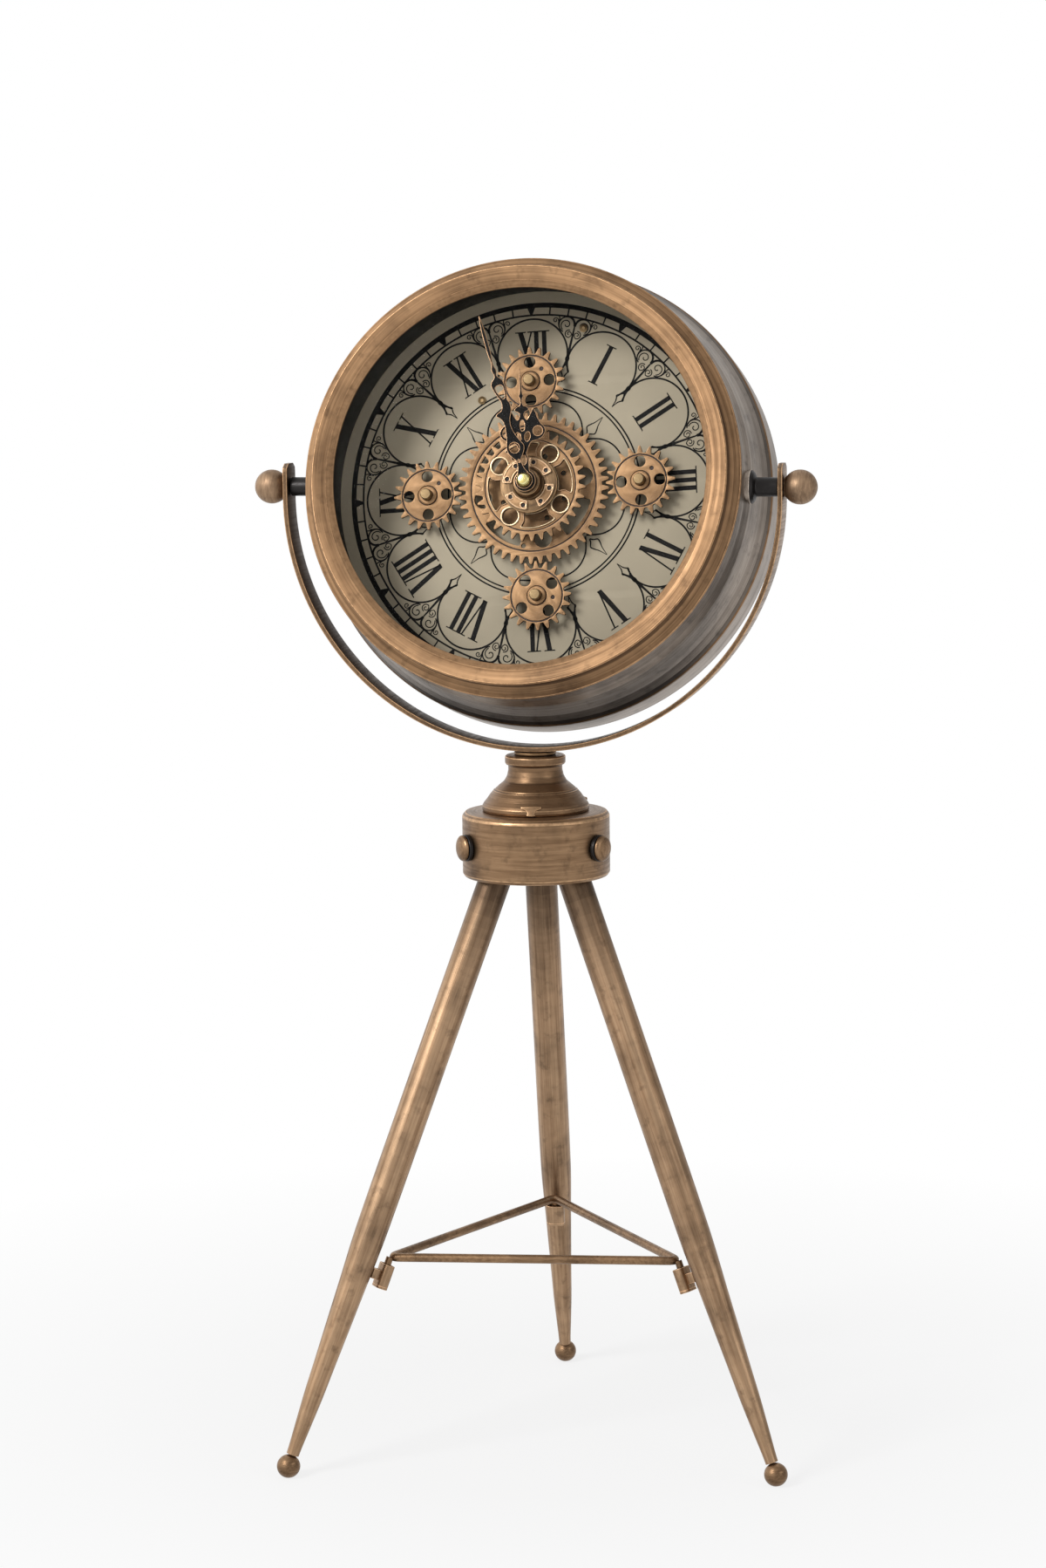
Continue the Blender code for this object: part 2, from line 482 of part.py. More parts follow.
# Gear motor behind the dial, round its shaft and held by the two dial screws
MOTOR_SIDE_WALL = 3.9 * MM
MOTOR_HEIGHT = 40 * MM
MOTOR_SHAFT_OFFSET = 9.3 * MM
MOTOR_SHAFT_DEPTH = 4 * MM
MOTOR_BAY_FLOOR = 4.5 * MM
MOTOR_WIDTH = BAY_WIDTH + 2 * MOTOR_SIDE_WALL
MOTOR_THICKNESS = MOTOR_BAY_FLOOR + BAY_DEPTH
MOTOR_MIDDLE = SATELLITE_DISTANCE + MOTOR_SHAFT_OFFSET
MOTOR_CENTRE = (0, MOTOR_MIDDLE)
MOTOR_BAY_CENTRE = (0, MOTOR_MIDDLE + MOTOR_HEIGHT / 2 - BAY_WALL - BAY_HEIGHT / 2)
DIAL_SCREW_SIDE_INSET = 5.35 * MM
DIAL_SCREW_END_INSET = 4.8 * MM
DIAL_SCREW_X = MOTOR_WIDTH / 2 - DIAL_SCREW_SIDE_INSET
DIAL_SCREW_Y = MOTOR_HEIGHT / 2 - DIAL_SCREW_END_INSET
DIAL_SCREW_CENTRES = {
    "left": (-DIAL_SCREW_X, MOTOR_MIDDLE - DIAL_SCREW_Y),
    "right": (DIAL_SCREW_X, MOTOR_MIDDLE + DIAL_SCREW_Y),
}
DIAL_SCREW_RADIUS = 1.1 * MM
DIAL_SCREW_HEAD_RADIUS = 1.9 * MM
DIAL_SCREW_HEAD_HEIGHT = 0.9 * MM
DIAL_SCREW_REACH = 3 * MM

# Finishes: base colour, metallic share, roughness
COPPER = ((0.36, 0.22, 0.12), 1.0, 0.38)
DARK_BRONZE = ((0.11, 0.085, 0.07), 1.0, 0.45)
BLACK_STEEL = ((0.02, 0.02, 0.02), 0.8, 0.5)
BLACK_PAINT = ((0.012, 0.012, 0.012), 0.0, 0.5)
DIAL_PAINT = ((0.3, 0.28, 0.21), 0.0, 0.6)
GEAR_PAINT = ((0.5, 0.3, 0.15), 0.6, 0.45)
BRASS = ((0.75, 0.6, 0.3), 1.0, 0.25)
BLACK_PLASTIC = ((0.02, 0.02, 0.022), 0.0, 0.4)
BATTERY_WRAP = ((0.05, 0.12, 0.3), 0.0, 0.35)
CLEAR_GLASS = ((0.95, 0.97, 0.97), 0.0, 0.02)
GLASS_ALPHA = 0.15


def clear_scene():
    for item in list(bpy.data.objects):
        bpy.data.objects.remove(item)


def make_collection(name, hidden=False):
    group = bpy.data.collections.new(name)
    group.hide_render = hidden
    bpy.context.scene.collection.children.link(group)
    return group


def empty(name, parent, location=(0, 0, 0), turn=(0, 0, 0)):
    item = bpy.data.objects.new(name, None)
    item.parent = parent
    item.location = location
    item.rotation_euler = turn
    PARTS.objects.link(item)
    return item


def finish_of(name, finish):
    colour, metallic, roughness = finish
    made = bpy.data.materials.new(name)
    made.use_nodes = True
    shader = made.node_tree.nodes["Principled BSDF"]
    shader.inputs["Base Color"].default_value = (*colour, 1.0)
    shader.inputs["Metallic"].default_value = metallic
    shader.inputs["Roughness"].default_value = roughness
    if finish is CLEAR_GLASS:
        shader.inputs["Alpha"].default_value = GLASS_ALPHA
    return made


def place(name, mesh, parent, finish, location=(0, 0, 0), turn=(0, 0, 0)):
    """An object of this mesh; without a finish it is a cutter or a piece to be joined."""
    item = bpy.data.objects.new(name, mesh)
    item.parent = parent
    item.location = location
    item.rotation_euler = turn
    if finish:
        mesh.materials.append(finish_of(name, finish))
        PARTS.objects.link(item)
    else:
        item.hide_render = True
        item.display_type = "WIRE"
        TOOLS.objects.link(item)
    return item


def turned(name, profile, parent, finish, location=(0, 0, 0), turn=(0, 0, 0), steps=ROUND_STEPS):
    """Turns (radius, height) pairs about local Z; they run down the outer side of the piece."""
    count = len(profile)
    edges = [(at, at + 1) for at in range(count - 1)]
    if profile[0][0] > 0:
        edges.append((count - 1, 0))
    mesh = bpy.data.meshes.new(name)
    mesh.from_pydata([(radius, 0, height) for radius, height in profile], edges, [])
    item = place(name, mesh, parent, finish, location, turn)
    screw = item.modifiers.new("turn", "SCREW")
    screw.steps = steps
    screw.render_steps = steps
    screw.use_merge_vertices = True
    screw.merge_threshold = MERGE_DISTANCE
    return item


def add_line(curve, points, height=0):
    """A closed run of straight pieces through these (x, y) points."""
    line = curve.splines.new("POLY")
    line.points.add(len(points) - 1)
    line.use_cyclic_u = True
    for point, (x, y) in zip(line.points, points):
        point.co = (x, y, height, 1)


def mesh_of_curve(curve, shift=0):
    """The curve's closed mesh, raised by a shift; its caps are welded to its sides."""
    drawn = bpy.data.objects.new(curve.name, curve)
    TOOLS.objects.link(drawn)
    mesh = bpy.data.meshes.new_from_object(drawn.evaluated_get(bpy.context.evaluated_depsgraph_get()))
    bpy.data.objects.remove(drawn)
    body = bmesh.new()
    body.from_mesh(mesh)
    bmesh.ops.remove_doubles(body, verts=body.verts, dist=MERGE_DISTANCE)
    bmesh.ops.recalc_face_normals(body, faces=body.faces)
    bmesh.ops.translate(body, verts=body.verts, vec=(0, 0, shift))
    body.to_mesh(mesh)
    body.free()
    return mesh


def plate(name, outlines, heights, parent, finish, location=(0, 0, 0), turn=(0, 0, 0)):
    """A flat piece between two heights: its outline, then the outlines of its holes."""
    low, high = heights
    curve = bpy.data.curves.new(name, "CURVE")
    curve.dimensions = "2D"
    curve.fill_mode = "BOTH"
    curve.extrude = (high - low) / 2
    for outline in outlines:
        add_line(curve, outline)
    mesh = mesh_of_curve(curve, (low + high) / 2)
    return place(name, mesh, parent, finish, location, turn)


def rod(
    name,
    radius,
    heights,
    parent,
    finish=None,
    location=(0, 0, 0),
    turn=(0, 0, 0),
    steps=SMALL_STEPS,
    corner=0,
):
    """A plain cylinder between two heights on local Z; its first corner is at this angle from +X."""
    low, high = heights
    body = bmesh.new()
    spin = Matrix.Rotation(corner - QUARTER_TURN, 4, "Z")
    middle = Matrix.Translation((0, 0, (low + high) / 2)) @ spin
    bmesh.ops.create_cone(
        body,
        cap_ends=True,
        segments=steps,
        radius1=radius,
        radius2=radius,
        depth=high - low,
        matrix=middle,
    )
    mesh = bpy.data.meshes.new(name)
    body.to_mesh(mesh)
    body.free()
    return place(name, mesh, parent, finish, location, turn)


def combine(item, other, operation):
    change = item.modifiers.new(other.name, "BOOLEAN")
    change.operation = operation
    change.solver = "EXACT"
    change.object = other


def cut(item, other):
    combine(item, other, "DIFFERENCE")


def join(item, other):
    combine(item, other, "UNION")


def arc(centre, radius, start, end, arcs):
    """Points on an arc in (radius, height); angles run from +X toward +Y."""
    angles = [start + (end - start) * at / arcs for at in range(arcs + 1)]
    return [(centre[0] + radius * math.cos(a), centre[1] + radius * math.sin(a)) for a in angles]


def between(start, end, shares):
    """Points on the way from one corner to another, by shares of the way in each direction."""
    return [(start[0] + (end[0] - start[0]) * a, start[1] + (end[1] - start[1]) * b) for a, b in shares]


def dial_place(radius, angle):
    """A place on the dial; the angle runs clockwise from twelve."""
    return (radius * math.sin(angle), radius * math.cos(angle))


def circle(radius, steps, centre=(0, 0), start=0):
    return arc(centre, radius, start, start + FULL_TURN - FULL_TURN / steps, steps - 1)


def rounded_box(width, height, corner, arcs, centre=(0, 0)):
    middles = (
        (width / 2 - corner, height / 2 - corner),
        (corner - width / 2, height / 2 - corner),
        (corner - width / 2, corner - height / 2),
        (width / 2 - corner, corner - height / 2),
    )
    points = []
    for at, (x, y) in enumerate(middles):
        start = at * QUARTER_TURN
        points += arc((centre[0] + x, centre[1] + y), corner, start, start + QUARTER_TURN, arcs)
    return points


def window(inner, outer, middle, half_angle, corner):
    """A rounded opening between two radii, centred on an angle clockwise from twelve."""
    inner_trim = corner / inner
    outer_trim = corner / outer
    points = [dial_place(inner + corner, middle - half_angle)]
    points.append(dial_place(outer - corner, middle - half_angle))
    for at in range(WINDOW_ARCS + 1):
        sweep = (half_angle - outer_trim) * (2 * at / WINDOW_ARCS - 1)
        points.append(dial_place(outer, middle + sweep))
    points.append(dial_place(outer - corner, middle + half_angle))
    points.append(dial_place(inner + corner, middle + half_angle))
    for at in range(WINDOW_ARCS + 1):
        sweep = (half_angle - inner_trim) * (1 - 2 * at / WINDOW_ARCS)
        points.append(dial_place(inner, middle + sweep))
    return points


def gear_outline(teeth, tip_radius, root_radius, first_tooth):
    """Four corners for each tooth; the first tooth points at the given dial angle."""
    pitch = FULL_TURN / teeth
    root = pitch * TOOTH_ROOT_SHARE / 2
    tip = pitch * TOOTH_TIP_SHARE / 2
    points = []
    for at in range(teeth):
        middle = first_tooth + at * pitch
        points.append(dial_place(root_radius, middle - root))
        points.append(dial_place(tip_radius, middle - tip))
        points.append(dial_place(tip_radius, middle + tip))
        points.append(dial_place(root_radius, middle + root))
    return points


def leg_radius_at(length):
    """Outer radius of a leg at this distance from its foot ball."""
    stations = leg_stations()
    for (high_radius, high), (low_radius, low) in zip(stations, stations[1:]):
        if length >= low:
            return low_radius + (high_radius - low_radius) * (length - low) / (high - low)
    return stations[-1][0]


def leg_stations():
    return [
        (LEG_RADIUS, LEG_LENGTH),
        (LEG_RADIUS, LEG_TAPER_LENGTH),
        (LEG_SHIN_RADIUS, LEG_SHIN_LENGTH),
        (LEG_ANKLE_RADIUS, LEG_ANKLE_LENGTH),
        (LEG_END_RADIUS, LEG_END_LENGTH),
    ]


def leg_frame(side):
    """Origin at the foot ball, +Z up the leg, +X toward the tripod axis."""
    azimuth = LEG_AZIMUTHS[side]
    x = FOOT_CIRCLE_RADIUS * math.cos(azimuth)
    y = FOOT_CIRCLE_RADIUS * math.sin(azimuth)
    turn = (0, LEG_LEAN, azimuth + HALF_TURN)
    return empty("leg_axis_" + side, ROOT, (x, y, FOOT_CENTRE_HEIGHT), turn)


def bolt_turn(azimuth):
    return (0, QUARTER_TURN, azimuth)


def make_foot(side, axis):
    spigot_root = math.sqrt(FOOT_BALL_RADIUS**2 - FOOT_SPIGOT_RADIUS**2)
    start = math.atan2(spigot_root, FOOT_SPIGOT_RADIUS)
    top = spigot_root + FOOT_SPIGOT_LENGTH
    profile = [(0, top), (FOOT_SPIGOT_RADIUS, top)]
    profile += arc((0, 0), FOOT_BALL_RADIUS, start, -QUARTER_TURN, FOOT_BALL_ARCS)
    profile[-1] = (0, -FOOT_BALL_RADIUS)
    foot = turned("foot_" + side, profile, axis, COPPER, steps=SMALL_STEPS)
    azimuth = LEG_AZIMUTHS[side]
    x = FOOT_CIRCLE_RADIUS * math.cos(azimuth)
    y = FOOT_CIRCLE_RADIUS * math.sin(azimuth)
    below = (-2 * FOOT_BALL_RADIUS, 0)
    cut(foot, rod("floor_cut_" + side, 2 * FOOT_BALL_RADIUS, below, ROOT, location=(x, y, 0)))


def make_leg(side, axis):
    outside = leg_stations()
    inside = [(radius - LEG_WALL, length) for radius, length in reversed(outside[1:])]
    profile = [(0, LEG_LENGTH)] + outside + inside
    profile += [(LEG_RADIUS - LEG_WALL, LEG_PLUG_START), (0, LEG_PLUG_START)]
    leg = turned("leg_" + side, profile, axis, COPPER, steps=LEG_STEPS)
    hole = rod(
        "leg_bolt_hole_" + side,
        BOLT_SHANK_RADIUS + GAP,
        (BOLT_END_DISTANCE - GAP, HUB_RADIUS),
        ROOT,
        location=(0, 0, HUB_MIDDLE_HEIGHT),
        turn=bolt_turn(LEG_AZIMUTHS[side]),
        steps=TINY_STEPS,
        corner=HALF_TURN / TINY_STEPS,
    )
    cut(leg, hole)


def make_leg_bolt(side):
    place_and_turn = {
        "location": (0, 0, HUB_MIDDLE_HEIGHT),
        "turn": bolt_turn(LEG_AZIMUTHS[side]),
        "steps": SMALL_STEPS,
    }
    washer_low = HUB_RADIUS + GAP
    washer_high = washer_low + WASHER_THICKNESS
    bore = BOLT_SHANK_RADIUS + GAP
    washer = [
        (WASHER_RADIUS, washer_high),
        (WASHER_RADIUS, washer_low),
        (bore, washer_low),
        (bore, washer_high),
    ]
    turned(f"leg_bolt_washer_{side}", washer, ROOT, BLACK_STEEL, **place_and_turn)
    seat = washer_high + GAP
    head = [
        (BOLT_HEAD_RADIUS * math.sin(angle), seat + BOLT_HEAD_HEIGHT * math.cos(angle))
        for angle in (QUARTER_TURN * at / BOLT_HEAD_ARCS for at in range(BOLT_HEAD_ARCS))
    ]
    head += [(BOLT_HEAD_RADIUS, seat), (BOLT_SHANK_RADIUS, seat)]
    head += [(BOLT_SHANK_RADIUS, BOLT_END_DISTANCE), (0, BOLT_END_DISTANCE)]
    turned(f"leg_bolt_{side}", head, ROOT, COPPER, **place_and_turn)


def make_cup(side, axis):
    """The small cup on the inner side of a leg, in which a pin of the brace stands."""
    middle = (CUP_OFFSET, 0)
    top = CUP_BOTTOM_LENGTH + CUP_LENGTH
    outside = rounded_box(CUP_DEPTH, CUP_WIDTH, CUP_CORNER, BOX_ARCS, middle)
    inside = rounded_box(
        CUP_DEPTH - 2 * CUP_WALL, CUP_WIDTH - 2 * CUP_WALL, CUP_CORNER - CUP_WALL, BOX_ARCS, middle
    )
    cup = plate("brace_cup_" + side, [outside], (CUP_BOTTOM_LENGTH, top), axis, COPPER)
    pocket = (CUP_BOTTOM_LENGTH + CUP_FLOOR, top + CUT_MARGIN)
    tab_middle = CUP_BOTTOM_LENGTH + CUP_LENGTH / 2
    tab_heights = (tab_middle - CUP_TAB_HEIGHT / 2, tab_middle + CUP_TAB_HEIGHT / 2)
    tab_start = leg_radius_at(tab_heights[1]) + GAP
    tab_end = CUP_OFFSET - CUP_DEPTH / 2 + CUP_TAB_LAP
    tab_outline = [
        (tab_start, -CUP_TAB_WIDTH / 2),
        (tab_end, -CUP_TAB_WIDTH / 2),
        (tab_end, CUP_TAB_WIDTH / 2),
        (tab_start, CUP_TAB_WIDTH / 2),
    ]
    join(cup, plate("cup_tab_" + side, [tab_outline], tab_heights, axis, None))
    cut(cup, plate("cup_pocket_" + side, [inside], pocket, axis, None))


def make_brace(axes):
    """One closed wire triangle; the pin under each bent corner stands in a cup."""
    apex = FOOT_CIRCLE_RADIUS - BRACE_LENGTH * math.sin(LEG_LEAN) - CUP_OFFSET * math.cos(LEG_LEAN)
    height = FOOT_CENTRE_HEIGHT + BRACE_LENGTH * math.cos(LEG_LEAN) - CUP_OFFSET * math.sin(LEG_LEAN)
    curve = bpy.data.curves.new("brace", "CURVE")
    curve.dimensions = "3D"
    curve.bevel_depth = BRACE_ROD_RADIUS
    curve.bevel_resolution = BRACE_ROD_RESOLUTION
    spread = HALF_TURN / len(LEG_AZIMUTHS)
    points = []
    for azimuth in sorted(LEG_AZIMUTHS.values()):
        bend = apex - BRACE_BEND_RADIUS
        centre = (bend * math.cos(azimuth), bend * math.sin(azimuth))
        points += arc(centre, BRACE_BEND_RADIUS, azimuth - spread, azimuth + spread, BRACE_BEND_ARCS)
    add_line(curve, points, height)
    brace = place("brace", mesh_of_curve(curve), ROOT, COPPER)
    for side, axis in axes.items():
        reach = (CUP_BOTTOM_LENGTH + CUP_FLOOR + GAP, BRACE_LENGTH)
        spot = (CUP_OFFSET, 0, 0)
        pin = rod("brace_pin_" + side, BRACE_PIN_RADIUS, reach, axis, location=spot, steps=TINY_STEPS)
        join(brace, pin)


def make_hub(axes):
    """A solid turned collar with a leaning socket and a cross hole for each leg."""
    top = arc(
        (HUB_RADIUS - HUB_TOP_ROUND, HUB_TOP_HEIGHT - HUB_TOP_ROUND),
        HUB_TOP_ROUND,
        QUARTER_TURN,
        0,
        HUB_ROUND_ARCS,
    )
    bottom = arc(
        (HUB_RADIUS - HUB_BOTTOM_ROUND, HUB_BOTTOM_HEIGHT + HUB_BOTTOM_ROUND),
        HUB_BOTTOM_ROUND,
        0,
        -QUARTER_TURN,
        HUB_ROUND_ARCS,
    )
    profile = [(0, HUB_TOP_HEIGHT)] + top + bottom + [(0, HUB_BOTTOM_HEIGHT)]
    hub = turned("hub_collar", profile, ROOT, COPPER, steps=MEDIUM_STEPS)
    for side, azimuth in LEG_AZIMUTHS.items():
        socket = (LEG_PLUG_START, LEG_LENGTH + GAP)
        cut(hub, rod("hub_socket_" + side, LEG_RADIUS + GAP, socket, axes[side], steps=LEG_STEPS))
        reach = (BOLT_END_DISTANCE, HUB_RADIUS + CUT_MARGIN)
        hole = rod(
            "hub_bolt_hole_" + side,
            BOLT_SHANK_RADIUS + GAP,
            reach,
            ROOT,
            location=(0, 0, HUB_MIDDLE_HEIGHT),
            turn=bolt_turn(azimuth),
            steps=TINY_STEPS,
            corner=HALF_TURN / TINY_STEPS,
        )
        cut(hub, hole)
    for number, azimuth in enumerate(TAB_AZIMUTHS):
        heights = (HUB_TOP_HEIGHT - TAB_REACH - GAP, HUB_TOP_HEIGHT + CUT_MARGIN)
        cut(hub, tab_block(f"hub_slot_{number}", azimuth, heights, GAP))


def tab_block(name, azimuth, heights, allowance):
    outline = [
        (TAB_RADIUS - TAB_THICKNESS / 2 - allowance, -TAB_WIDTH / 2 - allowance),
        (TAB_RADIUS + TAB_THICKNESS / 2 + allowance, -TAB_WIDTH / 2 - allowance),
        (TAB_RADIUS + TAB_THICKNESS / 2 + allowance, TAB_WIDTH / 2 + allowance),
        (TAB_RADIUS - TAB_THICKNESS / 2 - allowance, TAB_WIDTH / 2 + allowance),
    ]
    return plate(name, [outline], heights, ROOT, None, turn=(0, 0, azimuth))


def make_pedestal():
    """A hollow bell: lip, neck, flare, step and skirt, open at the bottom."""
    top = PEDESTAL_TOP_HEIGHT
    bottom = PEDESTAL_BOTTOM_HEIGHT
    hole = STUD_RADIUS + GAP
    lip_bottom = top - PEDESTAL_LIP_HEIGHT
    neck_bottom = (PEDESTAL_NECK_RADIUS, bottom + PEDESTAL_NECK_HEIGHT)
    step = (PEDESTAL_STEP_RADIUS, bottom + PEDESTAL_STEP_HEIGHT)
    skirt = (PEDESTAL_SKIRT_RADIUS, bottom + PEDESTAL_SKIRT_HEIGHT)
    seat_inner = PEDESTAL_SEAT_RADIUS - PEDESTAL_SEAT_WIDTH
    profile = [
        (hole, top),
        (PEDESTAL_LIP_RADIUS - PEDESTAL_LIP_ROUND, top),
        (PEDESTAL_LIP_RADIUS, top - PEDESTAL_LIP_ROUND),
        (PEDESTAL_LIP_RADIUS, lip_bottom + PEDESTAL_LIP_ROUND),
        (PEDESTAL_NECK_RADIUS, lip_bottom - PEDESTAL_LIP_ROUND),
    ]
    profile += between(neck_bottom, step, PEDESTAL_FLARE_SHARES)
    ledge = (step[0] + PEDESTAL_STEP_WIDTH, step[1])
    profile.append(ledge)
    profile += between(ledge, skirt, PEDESTAL_SKIRT_SHARES)
    profile += [(PEDESTAL_SEAT_RADIUS, bottom), (seat_inner, bottom)]
    profile.append((step[0] - PEDESTAL_WALL, step[1] - PEDESTAL_WALL))
    profile.append((neck_bottom[0] - PEDESTAL_WALL, neck_bottom[1] - PEDESTAL_WALL))
    profile.append((neck_bottom[0] - PEDESTAL_WALL, top - PEDESTAL_TOP_WALL))
    profile.append((hole, top - PEDESTAL_TOP_WALL))
    pedestal = turned("pedestal", profile, ROOT, COPPER, steps=MEDIUM_STEPS)
    for number, azimuth in enumerate(TAB_AZIMUTHS):
        heights = (HUB_TOP_HEIGHT - TAB_REACH, HUB_TOP_HEIGHT + TAB_RISE)
        join(pedestal, tab_block(f"pedestal_tab_{number}", azimuth, heights, 0))


def make_swivel(yoke_axis):
    """The stud fixed in the yoke and the nut that clamps it to the pedestal."""
    flange_bottom = PEDESTAL_TOP_HEIGHT + GAP
    flange_top = flange_bottom + STUD_FLANGE_THICKNESS
    stud_top = YOKE_BOTTOM_HEIGHT + YOKE_THICKNESS - STUD_RECESS
    stud_bottom = flange_bottom - STUD_LENGTH
    profile = [
        (0, stud_top),
        (STUD_RADIUS, stud_top),
        (STUD_RADIUS, flange_top),
        (STUD_FLANGE_RADIUS, flange_top),
        (STUD_FLANGE_RADIUS, flange_bottom),
        (STUD_RADIUS, flange_bottom),
        (STUD_RADIUS, stud_bottom),
        (0, stud_bottom),
    ]
    turned("swivel_stud", profile, yoke_axis, COPPER)
    nut_top = PEDESTAL_TOP_HEIGHT - PEDESTAL_TOP_WALL - GAP
    outlines = [circle(NUT_RADIUS, NUT_SIDES), circle(STUD_RADIUS + GAP, SMALL_STEPS)]
    plate("swivel_nut", outlines, (nut_top - NUT_HEIGHT, nut_top), yoke_axis, BLACK_STEEL)


def make_yoke(yoke_axis):
    """A flat strip bent to a bow with straight arms, whose ends have round corners."""
    bow_centre = (0, -YOKE_BOW_DROP)
    arm_end = YOKE_ARM_RISE + CUT_MARGIN
    outline = [(YOKE_OUTER_RADIUS, arm_end), (YOKE_INNER_RADIUS, arm_end)]
    outline += arc(bow_centre, YOKE_INNER_RADIUS, 0, -HALF_TURN, YOKE_BOW_STEPS)
    outline += [(-YOKE_INNER_RADIUS, arm_end), (-YOKE_OUTER_RADIUS, arm_end)]
    outline += arc(bow_centre, YOKE_OUTER_RADIUS, -HALF_TURN, 0, YOKE_BOW_STEPS)
    edge = YOKE_WIDTH / 2 + CUT_MARGIN
    pivot = (0, 0, PIVOT_HEIGHT)
    upright = (QUARTER_TURN, 0, 0)
    yoke = plate("yoke", [outline], (-edge, edge), yoke_axis, COPPER, pivot, upright)
    span = YOKE_OUTER_RADIUS + CUT_MARGIN
    reach = YOKE_ARM_RISE + YOKE_BOW_DROP + YOKE_OUTER_RADIUS + YOKE_WIDTH
    middle = (YOKE_ARM_RISE - reach / 2, 0)
    corners = rounded_box(reach, YOKE_WIDTH, YOKE_ARM_CORNER, YOKE_CORNER_ARCS, middle)
    across = (0, -QUARTER_TURN, 0)
    strip_form = plate("yoke_strip_form", [corners], (-span, span), yoke_axis, None, pivot, across)
    combine(yoke, strip_form, "INTERSECT")
    pivot_bore = KNOB_SHANK_RADIUS + GAP
    cut(yoke, rod("yoke_pivot_holes", pivot_bore, (-span, span), yoke_axis, None, pivot, across))
    stud = (YOKE_BOTTOM_HEIGHT - CUT_MARGIN, YOKE_BOTTOM_HEIGHT + YOKE_THICKNESS + CUT_MARGIN)
    cut(yoke, rod("yoke_stud_hole", STUD_RADIUS + GAP, stud, yoke_axis))


def side_turn(side):
    """Turns local Z toward the viewer's left or right along the pivot axis."""
    return (0, QUARTER_TURN if side == "right" else -QUARTER_TURN, 0)


def make_bushing(side, head_axis):
    """A black spacer between the case and the yoke, bored for the shank of the knob."""
    seat = PIVOT_SEAT_DISTANCE + GAP
    outer_end = YOKE_INNER_RADIUS - GAP
    collar = seat + BUSHING_COLLAR_THICKNESS
    bore = KNOB_SHANK_RADIUS + GAP
    profile = [
        (0, seat + KNOB_BORE_FLOOR),
        (bore, seat + KNOB_BORE_FLOOR),
        (bore, outer_end),
        (BUSHING_RADIUS, outer_end),
        (BUSHING_RADIUS, collar + BUSHING_COLLAR_SLOPE),
        (BUSHING_COLLAR_RADIUS, collar),
        (BUSHING_COLLAR_RADIUS, seat),
        (BUSHING_SPIGOT_RADIUS, seat),
        (BUSHING_SPIGOT_RADIUS, seat - BUSHING_SPIGOT_LENGTH),
        (0, seat - BUSHING_SPIGOT_LENGTH),
    ]
    turned("pivot_bushing_" + side, profile, head_axis, BLACK_STEEL, turn=side_turn(side))


def make_knob(side, head_axis):
    neck = YOKE_OUTER_RADIUS + GAP
    ball_start = neck + KNOB_NECK_LENGTH
    centre = ball_start + math.sqrt(KNOB_BALL_RADIUS**2 - KNOB_NECK_RADIUS**2)
    end = math.atan2(ball_start - centre, KNOB_NECK_RADIUS)
    profile = arc((0, centre), KNOB_BALL_RADIUS, QUARTER_TURN, end, KNOB_BALL_ARCS)
    profile[0] = (0, centre + KNOB_BALL_RADIUS)
    shank_end = PIVOT_SEAT_DISTANCE + GAP + KNOB_BORE_FLOOR + KNOB_END_CLEARANCE
    profile += [
        (KNOB_NECK_RADIUS, neck),
        (KNOB_SHANK_RADIUS, neck),
        (KNOB_SHANK_RADIUS, shank_end),
        (0, shank_end),
    ]
    turned("knob_" + side, profile, head_axis, COPPER, turn=side_turn(side))


